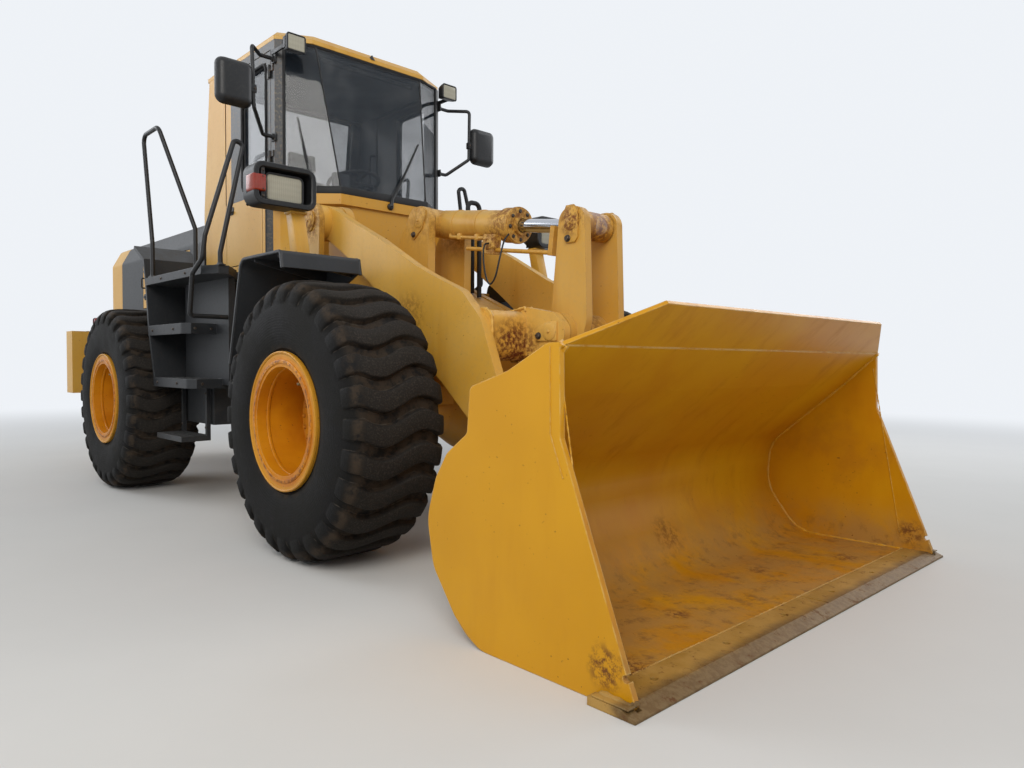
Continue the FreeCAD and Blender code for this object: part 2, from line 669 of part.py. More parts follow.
def tilt_cylinder():
    start, end, run, eye, body, gland, cavity, passage = cylinder_pair(
        tilt_base, crank_top, 0, tilt_barrel_radius, tilt_gland_radius, tilt_rod_radius,
        tilt_ear_y - side_gap, 800)
    down = Vec(run.z, 0, -run.x)
    axis = start + down * indicator_drop + Vec(0, indicator_y, 0)
    guide = block(0, 110, indicator_y - 28, indicator_y + 28, -indicator_drop - 28, -70)
    guide.rotate(Vec(0, 0, 0), Vec(0, 1, 0), -math.degrees(math.atan2(run.z, run.x)))
    guide.translate(start + run * 600)
    slide = rod(axis + run * 500, axis + run * 800, indicator_radius + 1)
    barrel = joined([eye, body, gland, guide]).cut([cavity, passage, slide])
    barrel = barrel.cut(cross_rod(tilt_base, -200, 200, pivot_radius + pin_fit))
    save("tilt_barrel", barrel)
    bar = rod(start + run * 250, end - run * 60, tilt_rod_radius)
    piston = rod(start + run * 180, start + run * 260, tilt_barrel_radius - 16 - fit)
    half = crank_plate_y - eye_gap
    head = cross_rod(crank_top, -half, half, 80)
    hole = cross_rod(crank_top, -half - 1, half + 1, link_pin_radius + 1)
    indicator = rod(axis + run * 420, axis + run * 1195, indicator_radius)
    arm = block(0, 34, indicator_y - 12, -10, -indicator_drop - 16, -10)
    arm.rotate(Vec(0, 0, 0), Vec(0, 1, 0), -math.degrees(math.atan2(run.z, run.x)))
    arm.translate(start + run * 1165)
    save("tilt_rod", joined([bar, piston, head, indicator, arm]).cut(hole))


def lift_cylinders():
    y = arm_y + arm_thickness / 2
    length = span(lift_base, lift_tip)
    start, end, run, eye, body, gland, cavity, passage = cylinder_pair(
        lift_base, lift_tip, y, lift_barrel_radius, lift_barrel_radius, lift_rod_radius,
        (outer_plate_y - inner_plate_y - frame_plate) / 2 - side_gap, length - 200)
    barrel = joined([eye, body]).cut([cavity, passage])
    barrel = barrel.cut(cross_rod(lift_base, y - 200, y + 200, lift_pin_radius + pin_fit))
    bar = rod(start + run * 200, end - run * 118, lift_rod_radius)
    piston = rod(start + run * 150, start + run * 215, lift_barrel_radius - 16 - fit)
    neck = end - run * 105
    bridge = block(-25, 20, y - 70, y + 70, -50, 50)
    bridge.rotate(Vec(0, 0, 0), Vec(0, 1, 0), -math.degrees(math.atan2(run.z, run.x)))
    bridge.translate(Vec(neck.x - run.x * 10, 0, neck.z - run.z * 10))
    cheeks = []
    for low in (arm_y - eye_gap - 30, arm_y + arm_thickness + eye_gap):
        flat = cross_rod(lift_tip, low, low + 30, 62)
        strap = block(-120, 0, low, low + 30, -50, 50)
        strap.rotate(Vec(0, 0, 0), Vec(0, 1, 0), -math.degrees(math.atan2(run.z, run.x)))
        strap.translate(Vec(end.x, 0, end.z))
        cheeks += [flat, strap]
    moving = joined([bar, piston, bridge] + cheeks)
    for side, shape_b, shape_r in (("left", barrel, moving), ("right", mirrored(barrel), mirrored(moving))):
        save("lift_barrel_" + side, shape_b)
        save("lift_rod_" + side, shape_r)


def steering_cylinders():
    base = Vec(steer_base[0], steer_base[1], steer_height)
    tip = Vec(steer_tip[0], steer_tip[1], steer_height)
    run = tip - base
    length = run.Length
    run.normalize()
    eye = upright(steer_base, steer_height - 33, steer_height + 33, 48)
    barrel_end = length - steer_stroke_back - 110
    neck = rod(base + run * 20, base + run * 110, 29)
    body = rod(base + run * 100, base + run * barrel_end, steer_barrel_radius)
    cavity = rod(base + run * 120, base + run * (barrel_end - 40), steer_barrel_radius - 10)
    passage = rod(base + run * (barrel_end - 50), base + run * (barrel_end + 5), steer_rod_radius + pin_fit)
    bore = upright(steer_base, steer_height - 40, steer_height + 40, 28 + pin_fit)
    barrel = joined([eye, neck, body]).cut([cavity, passage, bore])
    bar = rod(base + run * 365, tip - run * 35, steer_rod_radius)
    piston = rod(base + run * 350, base + run * 390, steer_barrel_radius - 10 - fit)
    head = upright(steer_tip, steer_height - 30, steer_height + 30, 48)
    hole = upright(steer_tip, steer_height - 40, steer_height + 40, 29)
    moving = joined([bar, piston, head]).cut(hole)
    for side, shape_b, shape_r in (("left", barrel, moving), ("right", mirrored(barrel), mirrored(moving))):
        save("steer_barrel_" + side, shape_b)
        save("steer_rod_" + side, shape_r)


# Fenders and lamps of the front frame
def front_fenders():
    top = fender_top_z
    skin = side_plate(bent_strip([
        (-150, top - 100, 0), (-170, top, 30), (-700, top, 80), (-880, 1095, 0)], fender_wall),
        fender_inner_y, fender_outer_y)
    web = side_plate([(-860, 1150, 0), (-708, top - 5, 60), (-168, top - 5, 10), (-158, top - 85, 0),
                      (-300, top - 145, 100), (-600, top - 165, 100), (-740, 1400, 100), (-800, 1150, 0)],
                     fender_inner_y, fender_inner_y + fender_wall)
    left = joined([skin, web])
    for side, shape in (("left", left), ("right", mirrored(left))):
        save("front_fender_" + side, shape)


def rounded_box(x0, x1, y0, y1, z0, z1, radius):
    """A box whose four long edges along x are rounded."""
    return end_plate([(y0, z0, radius), (y1, z0, radius), (y1, z1, radius), (y0, z1, radius)], x0, x1)


def headlights():
    """A lamp in a round-cornered guard, with a marker lamp beside it, on a stalk that stands on the fender."""
    x, y, z = lamp_centre
    y0, y1 = y - lamp_width / 2, y + lamp_width / 2
    z0, z1 = z - lamp_height / 2, z + lamp_height / 2
    front = x + lamp_depth / 2
    guard = rounded_box(x - 20, front, y0, y1, z0, z1, 62)
    hollow = rounded_box(x + 25, front + 1, y0 + lamp_rim, y1 - lamp_rim, z0 + lamp_rim, z1 - lamp_rim, 40)
    bowl = rounded_box(x - lamp_depth / 2, x, y0 + 45, y1 - 90, z0 + 35, z1 - 35, 50)
    lens = rounded_box(x + 20, front - 40, lens_low[0] - 14, lens_high[0] + 14, lens_low[1] - 14,
                       lens_high[1] + 14, 26)
    bar = block(x + 20, front - 8, lens_high[0] + 34, lens_high[0] + 58, z0 + lamp_rim - 5, z1 - lamp_rim + 5)
    marker = block(x + 20, front - 20, y1 - 75, y1 + 8, z - 52, z + 48)
    foot_z = fender_top_z + fit
    stalk = side_plate([(x + 40, foot_z + 6, 0), (x + 130, foot_z + 6, 0), (x + 60, z0 + 5, 0),
                        (x - 20, z0 + 5, 0)], y - 160, y - 70)
    foot = block(x, x + 165, y - 190, y - 40, foot_z, foot_z + 14)
    left = joined([guard.cut(hollow), bowl, lens, bar, marker, stalk, foot])
    for side, shape in (("left", left), ("right", mirrored(left))):
        save("headlight_" + side, shape)


# Rear frame, from the centre hinge to the counterweight
def rear_frame():
    rails = both_sides([side_plate([
        (-2060, 600, 40), (-2300, 600, 100), (-2560, 960, 100), (rail_end_x, 1000, 0), (rail_end_x, 1400, 0),
        (-2060, 1520, 40)], rail_y, rail_y + rail_thickness)])
    window = block(steer_base[0] - 75, -2040, 260, rail_y + rail_thickness + 10, steer_height - steer_window,
                   steer_height + steer_window)
    windows = both_sides([window])
    rails = [rail.cut(windows) for rail in rails]
    width = rail_y + 5
    pieces = list(rails)
    bulkhead = end_plate([(-width, 600, 0), (width, 600, 0), (width, 1520, 0), (-width, 1520, 0)], -2100, -2050)
    tunnel = rod(Vec(-2200, 0, shaft_height), Vec(-2000, 0, shaft_height), 120)
    pieces.append(bulkhead.cut([tunnel] + windows))
    for z in (lower_lug_z, upper_lug_z):
        for low in (z - side_gap - fork_thickness, z + lug_thickness + side_gap):
            pieces.append(plan_plate([
                (-2070, -width, 0), (-2070, width, 0), (hinge_x + lug_radius, lug_radius, lug_radius - 2),
                (hinge_x + lug_radius, -lug_radius, lug_radius - 2)], low, low + fork_thickness))
        pieces.append(upright((hinge_x, 0), z - side_gap - fork_thickness - 12,
                              z + lug_thickness + side_gap + fork_thickness + 12, hinge_pin_radius))
    for side in (1, -1):
        for z in (steer_height - steer_pad_gap - 30, steer_height + steer_pad_gap):
            pieces.append(steering_pad(steer_base, side, rail_y + 20, -55, z))
        pieces.append(upright((steer_base[0], side * steer_base[1]), steer_height - 80, steer_height + 80, 28))
    for x in (400 - wheelbase, -470 - wheelbase):
        pieces.append(block(x - 45, x + 45, -width, width, 700, 1080).cut(
            rod(Vec(x - 60, 0, tyre_radius), Vec(x + 60, 0, tyre_radius), trunnion_radius + fit)))
    for x0, x1 in ((-1950, -1800), (-2640, -2490)):
        pieces.append(block(x0, x1, -620, 620, 1450, cab_floor_z - fit))
    for x in (hood_front_x - 170, hood_rear_x + 130):
        pieces += both_sides([block(x - 40, x + 40, rail_y + rail_thickness - 5, hood_half_width,
                                    hood_base_z - 60, hood_base_z - fit)])
    pieces.append(block(rail_end_x, rail_end_x + 60, -width, width, 1000, 1400))
    save("rear_frame", joined(pieces))


def engine():
    """The closed engine and transmission as plain blocks, with the feet that stand against the rails."""
    feet = []
    for x in (-4350, -3450):
        feet += both_sides([block(x, x + 100, 295, rail_y - fit, 1100, 1190)])
    blocks = [block(-4500, -3300, -300, 300, 1085, 1900), block(-3310, -2950, -250, 250, 1100, 1700)]
    save("engine", joined(blocks + feet))
    feet = both_sides([block(-2700, -2600, 305, rail_y - fit, 1150, 1240)])
    output = rod(Vec(-2360, 0, shaft_height), Vec(hinge_x - 60, 0, shaft_height), shaft_radius)
    cup = rod(Vec(hinge_x - 160, 0, shaft_height), Vec(hinge_x - 60, 0, shaft_height), 62)
    save("transmission", joined([block(-2845, -2350, -310, 310, 720, 1440), output, cup] + feet))


def hood_section(inset, base_z):
    """The corners of the hood, seen from behind; an inset gives its inner face."""
    w = hood_half_width - inset
    shoulder = w - 100 + inset * 0.4
    return [(-w, base_z, 0), (-w, 2160, 60), (-shoulder, hood_top_z - inset, 80),
            (shoulder, hood_top_z - inset, 80), (w, 2160, 60), (w, base_z, 0)]


def slot_rows(low, high, pitch):
    """The heights of as many rows as fit between two heights, in the middle of them."""
    count = int((high - low) / pitch)
    start = (low + high - pitch * (count - 1)) / 2
    return [start + pitch * i for i in range(count)]


def hood():
    """The engine cover, open below and behind, and its two side doors."""
    w = hood_half_width
    outer = end_plate(hood_section(0, hood_base_z), hood_rear_x, hood_front_x)
    inner = end_plate(hood_section(hood_wall, hood_base_z - 1), hood_rear_x - 1, hood_front_x - hood_wall)
    notch = block(hood_front_x - hood_wall - 1, hood_front_x + 1, -w + hood_wall, w - hood_wall,
                  hood_base_z - 1, hood_base_z + 90)
    shell = outer.cut([inner, notch])
    shell = shell.cut(block(hatch_rear_x, hatch_front_x, -w - 5, w + 5, hatch_low_z, hatch_high_z))
    heights = (hatch_low_z + 90, hatch_high_z - 150)
    moving, fixed = hinge(hatch_front_x - door_gap / 2, w, heights, 40)
    save("hood", joined([shell] + both_sides(fixed)))
    slab = block(hatch_rear_x + door_gap, hatch_front_x - door_gap, w - hood_wall, w,
                 hatch_low_z + door_gap, hatch_high_z - door_gap)
    slots = slot_rows(hatch_low_z + 130, hatch_high_z - 110, louvre_pitch)
    louvres = [block(x, x + 330, w - hood_wall - 1, w + 1, z, z + louvre_slot)
               for x in (hatch_rear_x + 110, hatch_rear_x + 480) for z in slots]
    panel = joined([slab.cut(louvres)] + moving)
    save("hood_door_left", panel)
    save("hood_door_right", mirrored(panel))


def tail():
    """The counterweight with its tow pin ears, the frame behind the radiator and the grille door in it."""
    w = tail_half_width
    front = rail_end_x - fit
    weight = plan_plate([(front, -w, 0), (front, w, 0), (front - 250, w, 60), (tail_x, w - 280, 200),
                         (tail_x, 280 - w, 200), (front - 250, -w, 60)], tail_low_z, tail_top_z)
    pocket = block(tail_x - 5, tail_x + 230, -170, 170, tail_low_z - 60, tail_top_z + 1)
    ears = [block(tail_x + 30, tail_x + 240, -110, 110, z, z + tow_ear) for z in (tow_low_z, tow_high_z)]
    hole = upright((tail_x + 110, 0), tow_low_z - 60, tow_high_z + 93, tow_pin_radius)
    save("counterweight", weight.cut(pocket).fuse(ears).removeSplitter().cut(hole))
    frame = end_plate(hood_section(0, tail_top_z), grille_rear_x, hood_rear_x - fit)
    opening = block(grille_rear_x - 20, hood_rear_x + 40, -grille_half_width, grille_half_width,
                    grille_low_z, grille_high_z)
    gap = 8
    axis = (grille_rear_x - hinge_radius - 0.5, grille_half_width)
    leaf = (grille_rear_x - 8, grille_rear_x + 6)
    moving, fixed = [], []
    for z in (grille_low_z + 90, grille_high_z - 170):
        moving += [upright(axis, z, z + 40, hinge_radius),
                   block(leaf[0], leaf[1], grille_half_width - hinge_leaf, grille_half_width, z, z + 40)]
        top = z + 40 + fit
        fixed += [upright(axis, top, top + 40, hinge_radius),
                  block(leaf[0], leaf[1] - 5, grille_half_width, grille_half_width + hinge_leaf, top, top + 40)]
    save("tail_frame", joined([frame.cut(opening)] + fixed))
    door = block(grille_rear_x + 5, grille_rear_x + 45, gap - grille_half_width, grille_half_width - gap,
                 grille_low_z + gap, grille_high_z - gap)
    half = grille_half_width - 90
    slots = [block(grille_rear_x, grille_rear_x + 50, y0, y1, z, z + grille_slot)
             for z in slot_rows(grille_low_z + 60, grille_high_z - 60, grille_pitch)
             for y0, y1 in ((-half, -20), (20, half))]
    save("grille_door", joined([door.cut(slots)] + moving))
    save("radiator", block(grille_rear_x + 220, hood_rear_x + 20, -560, 560, grille_low_z, grille_high_z - 20))
    depth, width, height = tail_lamp_size
    lamp = rounded_box(tail_x + 90, tail_x + 90 + depth, w - 300 - width, w - 300, tail_top_z + fit + 30,
                       tail_top_z + fit + 30 + height, 18)
    stand = block(tail_x + 100, tail_x + 80 + depth, w - 330 - width / 2, w - 270 - width / 2, tail_top_z + fit,
                  tail_top_z + 60)
    save("tail_lamps", group(both_sides([joined([lamp, stand])])))


# Cab
def cab():
    """The tub, the sill, the posts and the header, all of one wall thickness."""
    w = cab_half_width
    t = cab_wall
    z0 = cab_floor_z
    roof_low_z = roof_z - roof_thickness
    tub_plan = [(cab_rear_x, -w, 40), (tub_side_x, -w, 30), (-1440, -660, 30), (-1200, -510, 60),
                (-1045, -270, 60), (-1045, 270, 60), (-1200, 510, 60), (-1440, 660, 30),
                (tub_side_x, w, 30), (cab_rear_x, w, 40)]
    inner_plan = [(cab_rear_x + t, -w + t, 20), (tub_side_x - 20, -w + t, 20), (-1462, -615, 20),
                  (-1235, -475, 40), (-1095, -250, 40), (-1095, 250, 40), (-1235, 475, 40), (-1462, 615, 20),
                  (tub_side_x - 20, w - t, 20), (cab_rear_x + t, w - t, 20)]
    sill_plan = [(cab_rear_x, -w, 0), (-1330, -w, 20), (-1021, -392, 20), (-1021, 392, 20), (-1330, w, 20),
                 (cab_rear_x, w, 0)]
    tub = plan_plate(tub_plan, z0, tub_top_z).cut(plan_plate(inner_plan, z0 + cab_deck, tub_top_z + 1))
    sill = plan_plate(sill_plan, tub_top_z, sill_z).cut(plan_plate(inner_plan, tub_top_z - 1, sill_z + 1))
    front_post = plan_plate([(door_front_x, w - t, 0), (door_front_x + 95, w - t, 0),
                             (door_front_x + 60, w, 0), (door_front_x, w, 0)], sill_z - 1, roof_low_z)
    rear_side = side_plate([(cab_rear_x, sill_z, 0), (door_rear_x - 10, sill_z, 0),
                            (door_rear_x - 10, roof_low_z, 0), (cab_rear_top_x, roof_low_z, 0)], w - t, w)
    low_x, high_x = cab_rear_x, cab_rear_top_x
    inner_y = rear_window_half
    rear_post = leaning(
        [(low_x, inner_y), (low_x + cab_post, inner_y), (low_x + cab_post, w - 5), (low_x, w - 5)], sill_z,
        [(high_x, inner_y), (high_x + cab_post, inner_y), (high_x + cab_post, w - 5), (high_x, w - 5)],
        roof_low_z)
    header = block(high_x, door_front_x, w - t, w, door_top_z, roof_low_z)
    rear_header = block(high_x, high_x + cab_post, -w + 5, w - 5, door_top_z, roof_low_z)
    shell = joined([tub, sill, rear_header] + both_sides([front_post, rear_side, rear_post, header]))
    opening = joined([block(door_rear_x, door_front_x, w - t - 1, w + 1, tub_top_z, door_top_z),
                      block(door_rear_x, door_foot_x, w - t - 1, w + 1, z0 + cab_deck, tub_top_z + 1)])
    shell = shell.cut(both_sides([opening]))
    heights = (tub_top_z + 15, 2560, 3180)
    moving, fixed = hinge(door_front_x - door_gap / 2, w, heights, 45)
    save("cab", joined([shell] + both_sides(fixed)))
    brim = [(high_x - 40, -w), (-1345, -w), (-1225, -505), (-1225, 505), (-1345, w), (high_x - 40, w)]
    crown = [(x + roof_slope * (1 if x < -1800 else -1), y * (1 - roof_slope / w)) for x, y in brim]
    plate = plan_plate([(x, y, 15) for x, y in brim], roof_low_z, roof_low_z + 30)
    save("cab_roof", joined([plate, leaning(brim, roof_low_z + 29, crown, roof_z)]))
    g = door_gap
    slab = joined([block(door_rear_x + g, door_front_x - g, w - t, w, tub_top_z + g, door_top_z - g),
                   block(door_rear_x + g, door_foot_x - g, w - t, w, z0 + cab_deck + g, tub_top_z + g + 1)])
    hole = block(window_rear_x, window_front_x, w - t - 5, w + 5, window_low_z, window_high_z)
    door = joined([slab.cut(hole)] + moving)
    glass = block(window_rear_x, window_front_x, w - t / 2 - pane / 2, w - t / 2 + pane / 2,
                  window_low_z, window_high_z)
    for side, turn in (("left", lambda shape: shape), ("right", mirrored)):
        save("door_" + side, turn(door))
        save("door_glass_" + side, turn(glass))
    glazing(sill_z + fit, roof_low_z - fit)


def glazing(low_z, high_z):
    """The folded windscreen in front and the leaning pane behind."""
    outlines = []
    for front_x, half in ((-1036, 386), (-1240, 476)):
        strip = bent_strip([(-1310, 694, 0), (front_x, half, 0), (front_x, -half, 0), (-1310, -694, 0)], -pane)
        outlines.append([(x, y) for x, y, radius in strip])
    screen = leaning(outlines[0], low_z, outlines[1], high_z)
    half = rear_window_half - fit
    rear = []
    for x in (cab_rear_x + 12, cab_rear_top_x + 12 - 7):
        rear.append([(x, -half), (x + pane, -half), (x + pane, half), (x, half)])
    back = leaning(rear[0], low_z, rear[1], door_top_z - fit)
    save("cab_glass", group([screen, back]))


def cab_inside():
    floor_z = cab_floor_z + cab_deck
    low = floor_z + seat_height
    cushion = block(-2250, -1800, -240, 240, low, low + 110)
    backrest = side_plate([(-2230, low + 80, 20), (-2300, low + 640, 40), (-2400, low + 640, 40),
                           (-2330, low + 60, 40)], -230, 230)
    headrest = side_plate([(-2300, low + 670, 30), (-2320, low + 860, 40), (-2400, low + 860, 40),
                           (-2390, low + 670, 30)], -140, 140)
    neck = block(-2365, -2335, -40, 40, low + 620, low + 690)
    save("seat", joined([cushion, backrest, headrest, neck]))
    save("seat_base", block(-2220, -1850, -180, 180, floor_z + fit, low - fit))
    foot = upright((-1290, 0), floor_z + fit, floor_z + 80, 62)
    column = rod(Vec(-1290, 0, floor_z + 65), Vec(-1480, 0, floor_z + 660), 45)
    lean = Vec(-0.25, 0, 1)
    wheel_z = floor_z + 700
    ring = Part.makeTorus(200, 16, Vec(-1490, 0, wheel_z), lean)
    hub = Part.makeCylinder(60, 60, Vec(-1480, 0, wheel_z - 50), lean)
    spokes = joined([block(-1680, -1300, -14, 14, wheel_z - 15, wheel_z + 5),
                     block(-1504, -1476, -195, 195, wheel_z - 15, wheel_z + 5)])
    spokes.rotate(Vec(-1490, 0, wheel_z - 5), Vec(0, 1, 0), -14)
    save("steering_column", joined([foot, column, hub, ring, spokes]))


def platforms():
    """Step box, ladder and mudguard on each side, between the front and rear wheels."""
    y0 = platform_inner_y
    y1 = ladder_y
    under = platform_z - 60
    guard = side_plate(bent_strip([
        (-2480, 940, 0), (-2610, 1377, 60), (-2670, 1733, 60), (-2720, 1925, 40), (-2945, 2050, 0)], -26),
        y0, y1)
    deck = plan_plate([(-2650, y0, 0), (-1700, y0, 0), (-1700, 910, 0), (-1600, 930, 0), (-1370, 1085, 0),
                       (-1370, 1160, 0), (-1500, y1, 0), (-2650, y1, 0)], under, platform_z)
    steps = []
    for x0, x1, inner_y, low, high in ((-2600, -1800, 1000, 1310, 1390), (-2490, -1700, 950, 905, 975)):
        tray = plan_plate([(x0, inner_y - 2, 0), (x1, inner_y - 2, 0), (x1, y1 - 40, 0), (x1 - 90, y1, 60), (x0, y1, 0)],
                          low, high)
        well = plan_plate([(x0 - 1, inner_y - 3, 0), (x1 - step_lip, inner_y - 3, 0), (x1 - step_lip, y1 - 40, 0),
                           (x1 - 90 - step_lip, y1 - step_lip, 50), (x0 - 1, y1 - step_lip, 0)],
                          low - 1, high - step_lip)
        steps.append(tray.cut(well))
    box = block(-2420, -1860, y0, 1000, 620, under)
    post = block(-1870, -1580, 950, 1000, 930, under)
    hung = block(-2420, -1900, 1010, y1, 500, 540)
    straps = [block(x, x + 30, 1010, 1040, 520, 966) for x in (-2420, -1930)]
    arm = block(-2300, -1950, rail_y + rail_thickness + fit, y0 + 5, 1380, 1440)
    left = joined([guard, deck, box, post, hung, arm] + steps + straps)
    for side, shape in (("left", left), ("right", mirrored(left))):
        save("platform_" + side, shape)


def handrails():
    """A tall hoop beside the ladder, and a leaning hoop in front that hooks under the deck."""
    r = rail_tube_radius
    foot = platform_z + fit
    y1 = ladder_y - 25
    rear = tube_along([Vec(-2560, y1, foot), Vec(-2560, y1, 2060), Vec(-2750, y1, 2950), Vec(-2400, y1, 2950),
                       Vec(-2200, 1000, 2150), Vec(-2200, 1000, foot)], r, 60)
    front = tube_along([Vec(-1395, 1135, foot), Vec(-1395, 1135, 1870), Vec(-1350, 985, 2640),
                        Vec(-1350, 1050, 2660), Vec(-1352, 1258, 1971), Vec(-1365, 1272, 1815),
                        Vec(-1545, 1272, 1725), Vec(-1600, 1272, 1430), Vec(-1600, 1000 + fit, 1430)], r, 30)
    save("handrails", group(both_sides([rear, front])))


def mirrors_and_lamps():
    """Mirrors on bent arms and square lamps on brackets, all carried by the front posts."""
    w = cab_half_width + fit
    head = rounded_box(-1215, -1140, 990, 1244, 2842, 3152, 55)
    clamp = block(-1215, -1175, 960, 1010, 2960, 3020)
    arm = tube_along([Vec(-1345, w, 3300), Vec(-1345, 860, 3300), Vec(-1200, 985, 3290), Vec(-1195, 975, 2870),
                      Vec(-1345, 840, 2740), Vec(-1345, w, 2740)], 14, 30)
    save("mirrors", group(both_sides([joined([head, clamp, arm])])))
    lamp = rounded_box(-1200, -1110, 620, 770, 3300, 3425, 18)
    bracket = block(door_front_x + 30, -1150, w, 766, 3330, 3360)
    save("work_lights", group(both_sides([joined([lamp, bracket])])))


def hoses():
    """Two oil hoses that rise from the ears of the tilt cylinder and go down to the frame's top plate."""
    pieces = []
    for x, peak, foot_z in ((-350, 2270, 1586.5), (-430, 2190, 1620.5)):
        pieces.append(tube_along([Vec(x, tilt_ear_y + tilt_ear_thickness + fit, 1950),
                                  Vec(x, tilt_ear_y + tilt_ear_thickness + 60, 1950),
                                  Vec(x, tilt_ear_y + tilt_ear_thickness + 60, peak),
                                  Vec(x, inner_plate_y - 60, peak),
                                  Vec(x, inner_plate_y - 60, foot_z)], hose_radius, 42))
    save("hoses", group(pieces))


def exhaust():
    stack = joined([upright((-3900, 0), hood_top_z + fit, 2700, 75), upright((-3900, 0), 2690, 3050, 50)])
    cleaner = joined([upright((-3500, 0), hood_top_z + fit, 2560, 60), upright((-3500, 0), 2560, 2760, 130)])
    save("exhaust", stack)
    save("air_cleaner", cleaner)


wheels()
front_axle()
rear_axle()
front_frame()
boom()
bell_crank()
bucket_link()
bucket()
cutting_edge()
tilt_cylinder()
lift_cylinders()
steering_cylinders()
front_fenders()
headlights()
rear_frame()
engine()
hood()
tail()
cab()
cab_inside()
platforms()
handrails()
mirrors_and_lamps()
hoses()
exhaust()
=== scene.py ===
import math
import random
import bmesh
import bpy
from mathutils import Matrix, Vector, noise


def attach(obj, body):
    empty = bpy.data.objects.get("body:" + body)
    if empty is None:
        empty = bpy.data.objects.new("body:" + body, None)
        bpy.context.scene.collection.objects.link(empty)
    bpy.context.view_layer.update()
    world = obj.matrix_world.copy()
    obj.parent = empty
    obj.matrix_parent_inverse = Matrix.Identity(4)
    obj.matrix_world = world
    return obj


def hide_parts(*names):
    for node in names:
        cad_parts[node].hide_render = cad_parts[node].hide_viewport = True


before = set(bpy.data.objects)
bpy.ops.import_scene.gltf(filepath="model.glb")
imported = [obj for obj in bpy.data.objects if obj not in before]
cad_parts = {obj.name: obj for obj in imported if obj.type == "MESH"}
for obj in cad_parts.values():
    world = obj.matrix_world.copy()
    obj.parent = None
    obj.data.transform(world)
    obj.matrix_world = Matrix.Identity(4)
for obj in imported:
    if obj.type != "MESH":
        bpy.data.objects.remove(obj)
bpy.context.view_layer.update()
ahead = 1.5725  # the front axle's place in x; every shape below is measured from under that axle
print("frame loaded:", len(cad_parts), "nodes")


# Camera, lamps and floor

cameraView = {
    "place": (5.3935, -3.285, 1.113),
    "yaw": 136.31,
    "pitch": -1.72,
    "roll": 0.23,
    "lens": 26.25,
}


def placeCamera(view):
    yaw, pitch, roll = (math.radians(view[key]) for key in ("yaw", "pitch", "roll"))
    forward = Vector((math.cos(yaw) * math.cos(pitch), math.sin(yaw) * math.cos(pitch), math.sin(pitch)))
    right = forward.cross(Vector((0, 0, 1))).normalized()
    up = right.cross(forward)
    level = right * math.cos(roll) + up * math.sin(roll)
    upright = up * math.cos(roll) - right * math.sin(roll)
    data = bpy.data.cameras.new("photoCamera")
    data.sensor_width = 36.0
    data.lens = view["lens"]
    data.clip_end = 200.0
    camera = bpy.data.objects.new("photoCamera", data)
    turn = Matrix((level, upright, -forward)).transposed().to_4x4()
    camera.matrix_world = Matrix.Translation(view["place"]) @ turn
    bpy.context.scene.collection.objects.link(camera)
    bpy.context.scene.camera = camera


def rgb(red, green, blue):
    # a colour as it is read from a photo, 0 to 255, turned into the shader's own numbers
    return tuple(((c / 255 + 0.055) / 1.055) ** 2.4 if c > 10 else c / 3294.6 for c in (red, green, blue))


class Value:
    # one output socket, so that maths on it reads as a plain sum

    def __init__(self, finish, socket):
        self.finish = finish
        self.socket = socket

    def maths(self, operation, first, second):
        return self.finish.add("Math", {"operation": operation}, {0: first, 1: second})

    def __add__(self, other):
        return self.maths("ADD", self, other)

    def __radd__(self, other):
        return self.maths("ADD", other, self)

    def __sub__(self, other):
        return self.maths("SUBTRACT", self, other)

    def __rsub__(self, other):
        return self.maths("SUBTRACT", other, self)

    def __mul__(self, other):
        return self.maths("MULTIPLY", self, other)

    def __rmul__(self, other):
        return self.maths("MULTIPLY", other, self)

    def __pow__(self, other):
        return self.maths("POWER", self, other)

    def most(self, other):
        return self.maths("MAXIMUM", self, other)

    def between(self, low, high):
        # 0 at low and 1 at high, smooth in the middle
        return self.finish.add("MapRange", {"interpolation_type": "SMOOTHSTEP"},
                {"Value": self, "From Min": low, "From Max": high})

    def output(self, name):
        return Value(self.finish, self.socket.node.outputs[name])


